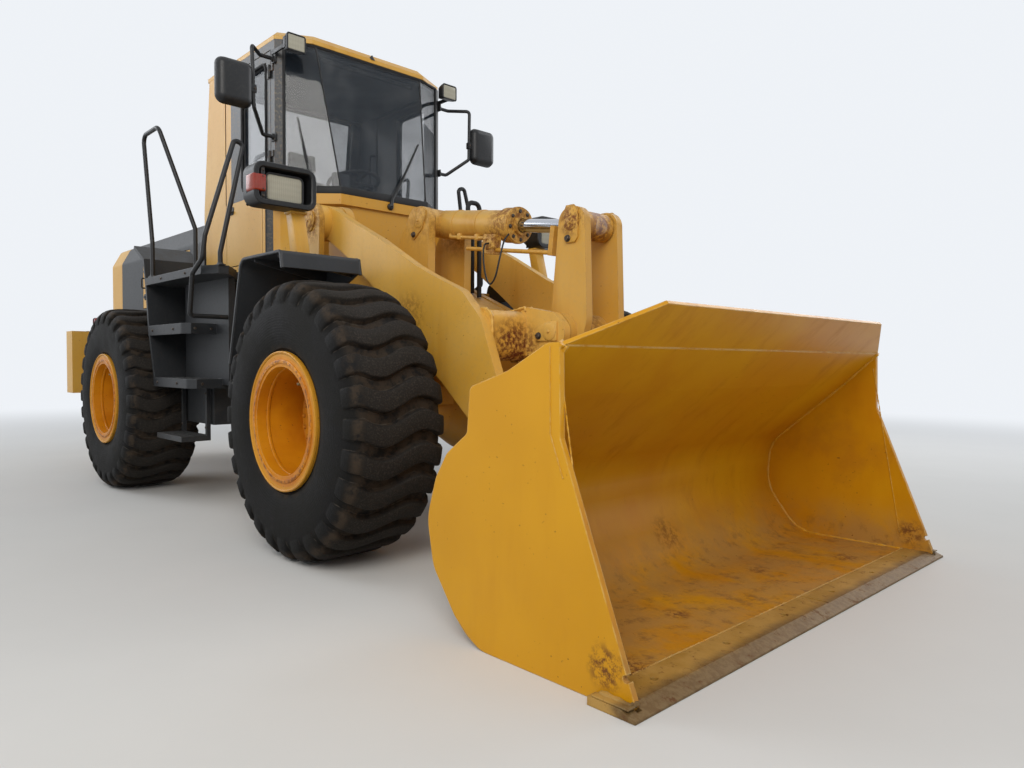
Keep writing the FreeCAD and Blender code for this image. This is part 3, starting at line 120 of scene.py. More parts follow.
class Finish:
    # one material; constants go straight to the shader's own sockets

    def __init__(self, name, constants=None, tree=None):
        if tree is None:
            self.material = bpy.data.materials.new(name)
            self.material.use_nodes = True
            tree = self.material.node_tree
            self.shader = next(node for node in tree.nodes if node.type == "BSDF_PRINCIPLED")
        self.tree = tree
        self.place = self.add("TexCoord", {}, {}, "Object")
        for socket, value in (constants or {}).items():
            self.give(socket, value)

    def add(self, kind, settings, sockets, output=0):
        node = self.tree.nodes.new("ShaderNode" + kind)
        for name, value in settings.items():
            setattr(node, name, value)
        for name, value in sockets.items():
            self.feed(node.inputs[name], value)
        return Value(self, node.outputs[output])

    def feed(self, socket, value):
        if isinstance(value, Value):
            self.tree.links.new(value.socket, socket)
        elif socket.type == "RGBA":
            socket.default_value = tuple(value)[:3] + (1.0,)
        else:
            socket.default_value = value

    def give(self, socket, value):
        self.feed(self.shader.inputs[socket], value)

    def mixed(self, factor, first, second):
        return self.add("Mix", {"data_type": "RGBA"}, {0: factor, 6: first, 7: second}, 2)

    def axis(self, name):
        return self.add("SeparateXYZ", {}, {"Vector": self.place}, name)

    def noise(self, scale, detail=4.0, rough=0.55, stretch=(1, 1, 1), shift=0.0):
        at = self.add("Mapping", {}, {"Vector": self.place, "Scale": stretch,
                "Location": (shift, shift, shift)})
        return self.add("TexNoise", {}, {"Vector": at, "Scale": scale, "Detail": detail, "Roughness": rough})

    def near(self, point, radius):
        # 1 at a point (x from the front axle, y, z), 0 from the radius on
        at = (point[0] + ahead, point[1], point[2])
        gap = self.add("VectorMath", {"operation": "DISTANCE"}, {0: self.place, 1: at}, "Value")
        return gap.between(radius, radius * 0.35)

    def edges(self, radius):
        # 1 along sharp edges
        soft = self.add("Bevel", {"samples": 4}, {"Radius": radius})
        hard = self.add("NewGeometry", {}, {}, "Normal")
        alike = self.add("VectorMath", {"operation": "DOT_PRODUCT"}, {0: soft, 1: hard}, "Value")
        return (1 - alike).between(0.015, 0.09)

    def facingUp(self):
        normal = self.add("NewGeometry", {}, {}, "Normal")
        return self.add("SeparateXYZ", {}, {"Vector": normal}, "Z")

    def bump(self, height, strength, distance, soft=0.0):
        sockets = {"Height": height, "Strength": strength, "Distance": distance}
        if soft:
            sockets["Normal"] = self.add("Bevel", {"samples": 4}, {"Radius": soft})
        self.give("Normal", self.add("Bump", {}, sockets))


lampPlan = [  # place, where it points, size in metres, watts, colour
    ((7.0, -6.5, 6.5), (0.5, 0.0, 1.2), 5.0, 480.0, (1.0, 0.96, 0.9)),
    ((-7.5, -5.5, 6.0), (-1.0, 0.0, 1.5), 5.0, 250.0, (0.93, 0.96, 1.0)),
    ((2.0, 8.0, 6.0), (0.0, 0.0, 1.2), 6.0, 270.0, (0.95, 0.97, 1.0)),
]
skyLevel = 0.5
paleWall = (0.86, 0.89, 0.93)
paleFloor = (0.66, 0.65, 0.63)


def buildStudio():
    for place, target, size, power, tint in lampPlan:
        data = bpy.data.lights.new("softLamp", "AREA")
        data.size = size
        data.energy = power
        data.color = tint
        lamp = bpy.data.objects.new("softLamp", data)
        lamp.location = place
        lamp.rotation_euler = (Vector(target) - Vector(place)).to_track_quat("-Z", "Y").to_euler()
        bpy.context.scene.collection.objects.link(lamp)
    world = bpy.data.worlds.new("paleSky")
    world.use_nodes = True
    world.node_tree.nodes.clear()
    sky = Finish("paleSky", tree=world.node_tree)
    path = sky.add("LightPath", {}, {}, "Is Camera Ray")
    seen = path.most(path.output("Is Glossy Ray")).most(path.output("Is Transmission Ray"))
    light = sky.add("Background", {}, {"Color": (0.9, 0.95, 1.0), "Strength": skyLevel})
    wall = sky.add("Background", {}, {"Color": paleWall, "Strength": 1.0})
    both = sky.add("MixShader", {}, {0: seen, 1: light, 2: wall})
    output = world.node_tree.nodes.new("ShaderNodeOutputWorld")
    world.node_tree.links.new(both.socket, output.inputs["Surface"])
    bpy.context.scene.world = world
    bpy.context.scene.view_settings.view_transform = "Standard"
    floor = Finish("paleFloor", {"Roughness": 0.9})
    grain = floor.noise(1.2, 5.0, 0.6)
    floor.give("Base Color", floor.mixed(grain.between(0.3, 0.7) * 0.25, paleFloor, (0.6, 0.59, 0.57)))
    reach = floor.add("VectorMath", {"operation": "LENGTH"}, {0: floor.place}, "Value").between(5.0, 15.0)
    far = floor.add("Emission", {}, {"Color": paleWall, "Strength": 1.0})
    near = Value(floor, floor.shader.outputs[0])
    blended = floor.add("MixShader", {}, {0: reach, 1: near, 2: far})
    end = next(node for node in floor.tree.nodes if node.type == "OUTPUT_MATERIAL")
    floor.tree.links.new(blended.socket, end.inputs["Surface"])
    mesh = bpy.data.meshes.new("floor")
    mesh.from_pydata([(-45, -45, -0.001), (45, -45, -0.001), (45, 45, -0.001), (-45, 45, -0.001)], [],
            [(0, 1, 2, 3)])
    mesh.materials.append(floor.material)
    ground = bpy.data.objects.new("floor", mesh)
    bpy.context.scene.collection.objects.link(ground)


placeCamera(cameraView)
buildStudio()
print("camera, lamps and floor ready")


# Finishes

bodyYellow = {
    "colour": rgb(202, 150, 52),
    "faded": rgb(208, 162, 76),
    "deep": rgb(178, 118, 26),
    "dust": rgb(176, 148, 104),
    "rust": rgb(104, 50, 22),
    "edge": rgb(150, 104, 52),
    "wear": 0.55,
    "rough": 0.4,
}
# the body paint made lighter for the boom: painted light, standing in for the light that falls on the boom's
# side
boomYellowPaintedLight = dict(bodyYellow, colour=rgb(216, 164, 62), faded=rgb(222, 176, 88), deep=rgb(196, 136, 38))
bucketYellow = {
    "colour": rgb(200, 142, 8),
    "faded": rgb(208, 150, 14),
    "deep": rgb(182, 120, 4),
    "dust": rgb(158, 128, 78),
    "rust": rgb(92, 46, 20),
    "edge": rgb(222, 190, 120),
    "wear": 0.75,
    "rough": 0.34,
}
# dark grey paint of the fenders, platforms and hood, also used as painted shade on the cab's inner faces
darkGreyPaintAndShade = {
    "colour": rgb(34, 36, 39),
    "faded": rgb(43, 45, 48),
    "deep": rgb(24, 25, 27),
    "dust": rgb(70, 66, 60),
    "rust": rgb(84, 54, 36),
    "edge": rgb(98, 98, 98),
    "wear": 0.5,
    "rough": 0.48,
}
black = {
    "colour": rgb(21, 22, 24),
    "faded": rgb(29, 30, 32),
    "deep": rgb(16, 16, 18),
    "dust": rgb(70, 66, 60),
    "rust": rgb(70, 46, 34),
    "edge": rgb(84, 82, 80),
    "wear": 0.35,
    "rough": 0.42,
}


def steelPaint(name, look, rustAndShadeAt=(), dustiness=0.5, edgeRadius=0.006, second=None):
    # painted plate: patches, streaks, dust on top, chips, rust round the pins, worn edges; a second look
    # paints the cab's front posts dark grey and puts painted shade on the cab's inner faces
    paint = Finish(name, {"Specular IOR Level": 0.35, "Coat Weight": 0.06, "Coat Roughness": 0.25})
    patches = paint.noise(0.9, 3.0, 0.6, shift=3.1).between(0.36, 0.64)
    colour = paint.mixed(patches, look["colour"], look["faded"])
    streaks = paint.noise(5.0, 4.0, 0.6, stretch=(1, 1, 0.12)).between(0.5, 0.74)
    colour = paint.mixed(streaks * 0.45, colour, look["deep"])
    # second look: dark grey paint on the front posts; on the inner faces of the cab shell the same dark grey
    # is painted shade, where the inside of the cab lies in shade
    if second:
        x = paint.axis("X") - ahead
        z = paint.axis("Z")
        middle = paint.add("Math", {"operation": "ABSOLUTE"}, {0: paint.axis("Y")}).between(0.7488, 0.7484)
        leaned = (x - z * 0.1209).between(-2.917, -2.916)
        inside = middle * leaned * z.between(1.859, 1.86)
        inside = inside * x.between(-2.603, -2.602) * x.between(-1.468, -1.47)
        posts = x.between(-2.101, -2.099) * z.between(2.3645, 2.3655)
        colour = paint.mixed(posts.most(inside), colour, paint.mixed(patches,
                second["colour"], second["faded"]))
    mottle = paint.noise(46.0, 3.0, 0.6).between(0.45, 0.75)
    colour = paint.mixed(mottle * 0.16, colour, look["dust"])
    settled = paint.facingUp().between(0.35, 0.95) * paint.noise(7.0, 5.0,
            0.65).between(0.3, 0.66) * dustiness
    colour = paint.mixed(settled, colour, look["dust"])
    low = paint.axis("Z").between(1.05, 0.25) * paint.noise(9.0, 5.0, 0.7).between(0.38,
            0.66) * (dustiness * 0.8)
    colour = paint.mixed(low, colour, look["dust"])
    chips = paint.noise(58.0, 2.0, 0.5, shift=7.7).between(0.705, 0.735)
    chips = chips * paint.noise(2.6, 2.0, 0.5).between(0.5, 0.6)
    edge = paint.edges(edgeRadius)
    wornAt = paint.noise(17.0, 4.0, 0.7).between(0.4, 0.62)
    colour = paint.mixed(edge * wornAt * look["wear"], colour, look["edge"])
    rusty = chips * 0.85
    grain = paint.noise(34.0, 5.0, 0.75, shift=1.3).between(0.4, 0.58)
    # rust spots from the list; on the boom, the spot under the cross tube is also painted shade
    for point, radius, strength in rustAndShadeAt:
        rusty = rusty.most(paint.near(point, radius) * grain * strength)
    colour = paint.mixed(rusty, colour, look["rust"])
    paint.give("Base Color", colour)
    paint.give("Roughness", settled * 0.3 + rusty * 0.4 + mottle * 0.08 + look["rough"])
    peel = paint.noise(210.0, 2.0, 0.5)
    dents = paint.noise(3.0, 2.0, 0.5)
    paint.bump(peel * 0.05 + dents * 0.6 - rusty * 0.25, 0.35, 0.004, edgeRadius)
    return paint.material


def tyreRubber(name, centreX):
    # worn black rubber: paler grit on the bars, brown dust down in the grooves, rings on the wall
    rubber = Finish(name, {"Specular IOR Level": 0.16})
    x = rubber.axis("X") - (centreX + ahead)
    z = rubber.axis("Z") - 0.78
    radius = (x * x + z * z) ** 0.5
    blotch = rubber.noise(4.0, 5.0, 0.65).between(0.35, 0.65)
    colour = rubber.mixed(blotch, rgb(17, 16, 16), rgb(25, 24, 22))
    grit = rubber.noise(120.0, 3.0, 0.7).between(0.48, 0.66)
    crown = radius.between(0.758, 0.777)
    colour = rubber.mixed(crown * (grit * 0.5 + 0.25), colour, rgb(66, 60, 54))
    groove = radius.between(0.772, 0.752) * radius.between(0.7, 0.745)
    colour = rubber.mixed(groove * rubber.noise(16.0, 4.0, 0.7).between(0.35, 0.6) * 0.6,
            colour, rgb(70, 58, 46))
    edge = rubber.edges(0.007) * rubber.noise(24.0, 3.0, 0.6).between(0.42, 0.66)
    colour = rubber.mixed(edge * 0.45, colour, rgb(96, 90, 82))
    splash = radius.between(0.44, 0.39) * rubber.noise(11.0, 4.0, 0.6).between(0.4, 0.7)
    colour = rubber.mixed(splash * 0.35, colour, rgb(92, 74, 50))
    rubber.give("Base Color", colour)
    rubber.give("Roughness", blotch * 0.14 + crown * 0.12 + 0.66)
    rings = rubber.add("Math", {"operation": "SINE"}, {0: radius * 420.0}) * radius.between(0.6, 0.57)
    rings = rings * radius.between(0.42, 0.46)
    rubber.bump(grit * 0.5 + rings * 0.18 + rubber.noise(30.0, 4.0, 0.7) * 0.7, 0.5, 0.004, 0.005)
    return rubber.material


def rimPaint(name, centreX):
    paint = Finish(name, {"Specular IOR Level": 0.3, "Coat Weight": 0.05, "Coat Roughness": 0.3})
    x = paint.axis("X") - (centreX + ahead)
    z = paint.axis("Z") - 0.78
    radius = (x * x + z * z) ** 0.5
    patches = paint.noise(2.6, 4.0, 0.6).between(0.36, 0.64)
    colour = paint.mixed(patches, rgb(206, 134, 14), rgb(188, 112, 8))
    flange = radius.between(0.352, 0.366)
    colour = paint.mixed(flange * 0.7, colour, rgb(200, 146, 44))
    lock = radius.between(0.318, 0.327) * radius.between(0.342, 0.333)
    worn = paint.noise(26.0, 5.0, 0.75).between(0.42, 0.6)
    colour = paint.mixed(lock * worn * 0.9, colour, rgb(112, 62, 26))
    inner = radius.between(0.3, 0.26) * paint.noise(8.0, 4.0, 0.7, stretch=(1, 0.2, 1)).between(0.42, 0.68)
    colour = paint.mixed(inner * 0.45, colour, rgb(122, 70, 22))
    specks = paint.noise(70.0, 2.0, 0.5).between(0.7, 0.74)
    rim = (paint.edges(0.005) * worn * 0.6).most(specks * 0.7)
    colour = paint.mixed(rim, colour, rgb(96, 52, 24))
    paint.give("Base Color", colour)
    paint.give("Roughness", worn * 0.12 + rim * 0.2 + 0.4)
    paint.bump(paint.noise(180.0, 2.0, 0.5) * 0.1 + worn * lock * 0.5 + rim * 0.4, 0.4, 0.004, 0.005)
    return paint.material


def plainMetal(name, light, dark, rough, metallic, grain=60.0, stretch=(1, 1, 1)):
    metal = Finish(name)
    mask = metal.noise(grain, 4.0, 0.65, stretch=stretch).between(0.35, 0.65)
    broad = metal.noise(2.5, 3.0, 0.6).between(0.4, 0.65)
    metal.give("Base Color", metal.mixed(broad * 0.4, metal.mixed(mask, light, dark), dark))
    metal.give("Metallic", metallic - broad * 0.15)
    metal.give("Roughness", mask * 0.12 + broad * 0.08 + rough)
    metal.bump(mask * 0.5, 0.18, 0.002, 0.003)
    return metal.material


def tiltRodMetal():
    # chrome along the cylinder's line, body paint on the bar beside it, rust on the eye
    metal = Finish("tiltRodMetal")
    x = metal.axis("X") - ahead
    y = metal.axis("Y")
    drop = metal.axis("Z") - (x + 0.34) * -0.13869 - 2.075
    away = ((y * y + drop * drop) ** 0.5).between(0.046, 0.05)
    eye = metal.near((1.03, 0.0, 1.885), 0.16)
    grain = metal.noise(30.0, 5.0, 0.7).between(0.36, 0.56)
    painted = away.most(eye)
    paint = metal.mixed(grain * (eye * 0.9 + 0.15), bodyYellow["colour"], rgb(104, 54, 26))
    shine = metal.mixed(metal.noise(14.0, 3.0, 0.6, stretch=(0.1, 1, 1)),
            rgb(205, 208, 214), rgb(170, 172, 178))
    metal.give("Base Color", metal.mixed(painted, shine, paint))
    metal.give("Metallic", 1 - painted)
    metal.give("Roughness", painted * 0.4 + 0.09)
    metal.bump(grain * painted, 0.3, 0.002, 0.003)
    return metal.material


def mouldedPlastic(name, light, dark, rough):
    plastic = Finish(name, {"Specular IOR Level": 0.4})
    broad = plastic.noise(3.0, 4.0, 0.6).between(0.35, 0.65)
    colour = plastic.mixed(broad, light, dark)
    dust = plastic.facingUp().between(0.2, 0.95) * plastic.noise(12.0, 5.0, 0.7).between(0.35, 0.7)
    colour = plastic.mixed(dust * 0.3, colour, rgb(112, 106, 96))
    edge = plastic.edges(0.004) * plastic.noise(22.0, 3.0, 0.6).between(0.4, 0.65)
    plastic.give("Base Color", plastic.mixed(edge * 0.4, colour, rgb(100, 98, 96)))
    plastic.give("Roughness", dust * 0.2 + broad * 0.06 + rough)
    plastic.bump(plastic.noise(380.0, 2.0, 0.6), 0.22, 0.0015, 0.004)
    return plastic.material


def tintedGlass(name, tint, clear):
    glass = Finish(name, {"Specular IOR Level": 0.7, "IOR": 1.5})
    haze = glass.noise(3.5, 5.0, 0.7).between(0.45, 0.75)
    smear = glass.noise(9.0, 4.0, 0.7, stretch=(1, 1, 0.15)).between(0.55, 0.8)
    glass.give("Base Color", glass.mixed(haze * 0.35, tint, rgb(120, 122, 122)))
    glass.give("Roughness", haze * 0.06 + smear * 0.05 + 0.03)
    glass.give("Alpha", haze * 0.06 + smear * 0.05 + clear)
    glass.material.surface_render_method = "BLENDED"
    return glass.material


def lampGlass(name, tint, ribs, clear=1.0):
    # a moulded lens: fine upright ribs, a clear coat, dust in the corners
    lens = Finish(name, {"Coat Weight": 0.25, "Coat Roughness": 0.08})
    flute = lens.add("Math", {"operation": "SINE"}, {0: lens.axis("Y") * ribs})
    tile = lens.add("Math", {"operation": "SINE"}, {0: lens.axis("Z") * (ribs * 0.35)})
    shade = (flute * 0.5 + tile * 0.3 + 0.5).between(0.0, 1.0) * 0.35
    dirt = lens.noise(18.0, 4.0, 0.7).between(0.4, 0.7)
    pale = tuple(min(1.0, c * 1.35 + 0.01) for c in tint)
    lens.give("Base Color", lens.mixed(dirt * 0.14, lens.mixed(shade, tint, pale), rgb(120, 108, 88)))
    lens.give("Roughness", dirt * 0.12 + 0.12)
    lens.give("Alpha", dirt * 0.05 + (clear - 0.05))
    lens.bump(flute * 0.5 + tile * 0.3, 0.3, 0.0015)
    return lens.material


def wovenCloth(name, light, dark):
    cloth = Finish(name, {"Sheen Weight": 0.25, "Sheen Roughness": 0.5, "Specular IOR Level": 0.2})
    across = cloth.add("Math", {"operation": "SINE"}, {0: cloth.axis("Y") * 2100.0})
    down = cloth.add("Math", {"operation": "SINE"}, {0: (cloth.axis("X") + cloth.axis("Z")) * 2100.0})
    weave = (across * down * 0.5 + 0.5).between(0.2, 0.8)
    worn = cloth.noise(5.0, 4.0, 0.65).between(0.4, 0.66)
    colour = cloth.mixed(weave * 0.6, dark, light)
    cloth.give("Base Color", cloth.mixed(worn * 0.35, colour, rgb(96, 92, 86)))
    cloth.give("Roughness", worn * 0.08 + 0.82)
    cloth.bump(weave, 0.3, 0.0008)
    return cloth.material


frameRust = [  # x from the front axle, y, z; radius; strength
    ((-0.92, -0.7, 2.08), 0.2, 0.7), ((-0.92, 0.7, 2.08), 0.2, 0.6), ((-0.34, 0.0, 2.08), 0.32, 0.55),
    ((-1.65, 0.0, 1.0), 0.65, 0.5), ((0.3, -0.42, 1.15), 0.22, 0.8), ((0.3, 0.42, 1.15), 0.22, 0.6),
]
boomRustAndTubeShade = [
    # the first three spots sit round the cross tube; the strong one under it is rust plus painted shade,
    # darkening the tube's shaded underside with the rust colour
    ((0.76, -0.37, 1.19), 0.22, 1.0), ((0.66, 0.18, 1.28), 0.16, 0.8), ((0.62, -0.45, 1.4), 0.18, 0.5),
        ((0.95, 0.0, 1.28), 0.24, 0.8),
    ((1.18, -0.6, 0.4), 0.24, 0.7), ((1.18, 0.6, 0.4), 0.24, 0.6), ((0.1, -0.6, 1.38), 0.2, 0.45),
    ((0.22, -0.6, 1.8), 0.1, 0.6),
]
crankRust = [
    ((1.03, -0.15, 1.9), 0.12, 0.9), ((1.03, 0.15, 1.9), 0.12, 0.8), ((0.97, 0.0, 1.28), 0.17, 0.9),
    ((0.76, 0.0, 0.52), 0.2, 0.8),
]
cylinderRust = [((0.38, 0.0, 2.0), 0.2, 0.85), ((-0.34, 0.0, 2.08), 0.2, 0.5),
        ((0.3, -0.05, 1.86), 0.18, 0.8)]
bucketRust = [
    ((2.2, -1.18, 0.06), 0.16, 0.9), ((2.0, -0.55, 0.07), 0.1, 0.9), ((1.75, -0.9, 0.06), 0.12, 0.85),
    ((1.9, 0.35, 0.06), 0.1, 0.7), ((2.1, 0.95, 0.06), 0.12, 0.7), ((1.45, 0.1, 0.14), 0.16, 0.6),
    ((2.3, -1.4, 0.12), 0.1, 0.9), ((2.3, 1.4, 0.12), 0.1, 0.8),
]


def bucketPaint():
    # the body colour outside, amber and dusty inside, brown dirt and bare spots on the floor
    look = bucketYellow
    paint = Finish("bucketPaint", {"Specular IOR Level": 0.3, "Coat Weight": 0.06, "Coat Roughness": 0.22})
    patches = paint.noise(1.1, 3.0, 0.6, shift=5.0).between(0.36, 0.66)
    colour = paint.mixed(patches, look["colour"], look["faded"])
    streaks = paint.noise(4.0, 4.0, 0.6, stretch=(1, 1, 0.2)).between(0.48, 0.76)
    colour = paint.mixed(streaks * 0.35, colour, look["deep"])
    side = paint.add("Math", {"operation": "ABSOLUTE"}, {0: paint.axis("Y")})
    inside = side.between(1.4075, 1.4055)
    z = paint.axis("Z")
    colour = paint.mixed(inside * paint.noise(1.4, 4.0, 0.6).between(0.25, 0.7) * 0.55,
            colour, rgb(186, 112, 10))
    scuffs = paint.noise(7.0, 5.0, 0.7, stretch=(0.35, 1, 0.35)).between(0.5, 0.72) * inside
    colour = paint.mixed(scuffs * 0.35, colour, rgb(158, 96, 22))
    ground = inside * z.between(0.34, 0.05) * paint.noise(3.2, 5.0, 0.7).between(0.28, 0.62)
    colour = paint.mixed(ground * 0.75, colour, rgb(166, 128, 70))
    dirt = inside * z.between(0.2, 0.045) * paint.noise(13.0, 5.0, 0.75).between(0.5, 0.68)
    colour = paint.mixed(dirt * 0.6, colour, rgb(118, 84, 46))
    grain = paint.noise(30.0, 5.0, 0.75, shift=2.2).between(0.42, 0.6)
    chips = paint.noise(64.0, 2.0, 0.5).between(0.715, 0.74)
    rusty = chips * paint.noise(2.0, 2.0, 0.5).between(0.5, 0.6) * 0.8
    for point, radius, strength in bucketRust:
        rusty = rusty.most(paint.near(point, radius) * grain * strength)
    edge = paint.edges(0.008)
    wornAt = paint.noise(13.0, 4.0, 0.7).between(0.34, 0.58)
    colour = paint.mixed(edge * wornAt * look["wear"], colour, look["edge"])
    colour = paint.mixed(rusty, colour, look["rust"])
    paint.give("Base Color", colour)
    paint.give("Roughness", ground * 0.3 + rusty * 0.4 + scuffs * 0.1 + look["rough"])
    dents = paint.noise(2.4, 3.0, 0.5)
    peel = paint.noise(190.0, 2.0, 0.5)
    pits = ground * paint.noise(60.0, 4.0, 0.7)
    paint.bump(peel * 0.05 + dents * 0.9 + pits * 0.5 - rusty * 0.3, 0.4, 0.004, 0.006)
    return paint.material


def edgeSteel():
    # the cutting edge: buff paint scraped to bare steel at the lip
    steel = Finish("edgeSteel", {"Specular IOR Level": 0.3})
    x = steel.axis("X") - ahead
    scrape = (x.between(2.3, 2.44) + steel.noise(9.0, 5.0, 0.7, stretch=(0.4, 1,
            1)) - 0.5).between(0.15, 0.85)
    paint = steel.mixed(steel.noise(5.0, 4.0, 0.7).between(0.35, 0.65), rgb(158, 120, 52), rgb(176, 138, 72))
    bare = steel.mixed(steel.noise(40.0, 4.0, 0.7).between(0.4, 0.6), rgb(108, 90, 64), rgb(84, 64, 42))
    rusty = steel.noise(24.0, 5.0, 0.75).between(0.56, 0.68)
    colour = steel.mixed(scrape * 0.8, paint, bare)
    steel.give("Base Color", steel.mixed(rusty * 0.7, colour, rgb(96, 54, 28)))
    steel.give("Roughness", rusty * 0.25 + 0.5)
    steel.give("Metallic", scrape * 0.15)
    steel.bump(steel.noise(90.0, 4.0, 0.7) * 0.6 - rusty * 0.4, 0.45, 0.003, 0.005)
    return steel.material


finishes = {
    "body": steelPaint("bodyPaint", bodyYellow),
    "roof": steelPaint("roofPaint", bodyYellow, dustiness=0.15),
    # the cab: body paint, dark grey front posts, and painted shade on the inner faces
    "cab": steelPaint("cabPaintAndInsideShade", bodyYellow, dustiness=0.4, edgeRadius=0.005, second=darkGreyPaintAndShade),
    "frontFrame": steelPaint("frontFramePaint", bodyYellow, frameRust, 0.6),
    # the boom, lift barrels and their trim take the lighter copy of the body paint, which is painted light
    "boom": steelPaint("boomPaintWithPaintedLight", boomYellowPaintedLight, boomRustAndTubeShade, 0.6),
    "crank": steelPaint("crankPaint", bodyYellow, crankRust, 0.6),
    "cylinder": steelPaint("cylinderPaint", bodyYellow, cylinderRust, 0.55, 0.004),
    "fresh": steelPaint("freshPaint", bucketYellow, bucketRust, 0.4),
    "bucket": bucketPaint(),
    "edge": edgeSteel(),
    "grey": steelPaint("greyPaint", darkGreyPaintAndShade, dustiness=0.55),
    "black": steelPaint("blackPaint", black, dustiness=0.35, edgeRadius=0.004),
    "tyreFront": tyreRubber("frontTyreRubber", 0.0),
    "tyreRear": tyreRubber("rearTyreRubber", -3.3),
    "rimFront": rimPaint("frontRimPaint", 0.0),
    "rimRear": rimPaint("rearRimPaint", -3.3),
    "chrome": plainMetal("chromedRod", rgb(205, 208, 214), rgb(176, 178, 182), 0.08, 1.0, 14.0, (0.1, 1, 1)),
    "tiltRod": tiltRodMetal(),
    "bolt": plainMetal("boltSteel", rgb(96, 88, 80), rgb(62, 54, 48), 0.42, 0.75),
    "iron": plainMetal("castIron", rgb(92, 88, 82), rgb(60, 56, 52), 0.62, 0.35, 26.0),
    "core": plainMetal("radiatorCore", rgb(58, 58, 58), rgb(32, 32, 32), 0.5, 0.5, 90.0, (1, 1, 0.05)),
    "brass": plainMetal("lockBrass", rgb(150, 132, 92), rgb(96, 84, 62), 0.4, 0.8),
    "mirror": plainMetal("mirrorFace", rgb(206, 210, 214), rgb(196, 200, 206), 0.04, 1.0, 3.0),
    "reflector": plainMetal("lampReflector", rgb(226, 226, 222), rgb(190, 188, 180), 0.14, 1.0, 20.0),
    "plastic": mouldedPlastic("blackPlastic", rgb(34, 35, 37), rgb(26, 26, 28), 0.5),
    "trim": mouldedPlastic("greyTrim", rgb(70, 72, 76), rgb(54, 56, 60), 0.6),
    "rubber": mouldedPlastic("sealRubber", rgb(26, 26, 27), rgb(18, 18, 19), 0.62),
    "glass": tintedGlass("cabGlass", rgb(34, 44, 54), 0.3),
    "lens": lampGlass("lampLens", rgb(168, 164, 146), 520.0, 0.86),
    "marker": lampGlass("markerLens", rgb(134, 34, 8), 420.0),
    "tail": lampGlass("tailLens", rgb(140, 16, 12), 380.0),
    "cloth": wovenCloth("seatCloth", rgb(64, 66, 70), rgb(36, 37, 40)),
}

nodeFinishes = {
    "cab": "cab door_left door_right",
    "body": "rear_frame counterweight tail_frame hood_door_left hood_door_right "
        "front_axle rear_axle steer_barrel_left steer_barrel_right",
    "roof": "cab_roof",
    "frontFrame": "front_frame",
    "boom": "boom lift_barrel_left lift_barrel_right",
    "crank": "bell_crank bucket_link",
    "cylinder": "tilt_barrel",
    "bucket": "bucket",
    "edge": "cutting_edge",
    "grey": "front_fender_left front_fender_right platform_left platform_right hood",
    "black": "handrails exhaust air_cleaner grille_door work_lights mirrors headlight_left headlight_right",
    "tyreFront": "tyre_front_left tyre_front_right",
    "tyreRear": "tyre_rear_left tyre_rear_right",
    "rimFront": "rim_front_left rim_front_right",
    "rimRear": "rim_rear_left rim_rear_right",
    "tiltRod": "tilt_rod",
    "chrome": "lift_rod_left lift_rod_right steer_rod_left steer_rod_right",
    "iron": "engine transmission",
    "core": "radiator",
    "glass": "cab_glass door_glass_left door_glass_right",
    "cloth": "seat",
    "plastic": "seat_base steering_column",
    "rubber": "hoses",
    "tail": "tail_lamps",
}


def dressNodes():
    for finishName, names in nodeFinishes.items():
        for name in names.split():
            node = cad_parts[name]
            node.data.materials.clear()
            node.data.materials.append(finishes[finishName])


dressNodes()
print("finishes on the solids:", len(finishes))


# Shapes

def rounded(corners, steps=5):
    # an outline or path whose corners with a last number are rounded to that radius
    points = []
    count = len(corners)
    size = 3 if len(corners[0]) > 3 or corners[0][-1] is None else 2
    flat = [Vector(corner[:size]) for corner in corners]
    for i, corner in enumerate(corners):
        radius = corner[size] if len(corner) > size and corner[size] else 0
        here = flat[i]
        before = flat[i - 1] - here
        after = flat[(i + 1) % count] - here
        if not radius:
            points.append(here)
            continue
        half = before.angle(after) / 2
        reach = min(radius / math.tan(half), 0.49 * before.length, 0.49 * after.length)
        radius = reach * math.tan(half)
        middle = here + (before.normalized() + after.normalized()).normalized() * (radius / math.sin(half))
        start = here + before.normalized() * reach - middle
        end = here + after.normalized() * reach - middle
        sweep = start.angle(end)
        for k in range(steps + 1):
            part = k / steps
            points.append(middle + (start * math.sin((1 - part) * sweep) + end * math.sin(part * sweep))
                    / math.sin(sweep))
    return points


def bentPath(points, bend, steps=6):
    # an open path in space with its inner corners rounded
    corners = [tuple(point) + ((bend,) if 0 < i < len(points) - 1 else (0,)) for i,
            point in enumerate(points)]
    return rounded(corners, steps)


def ringOf(centre, first, second, radius, sides):
    turns = [math.tau * k / sides for k in range(sides)]
    return [centre + (first * math.cos(turn) + second * math.sin(turn)) * radius for turn in turns]


viewAxes = {
    "side": lambda u, v, w: (u, w, v),
    "plan": lambda u, v, w: (u, v, w),
    "end": lambda u, v, w: (w, u, v),
}


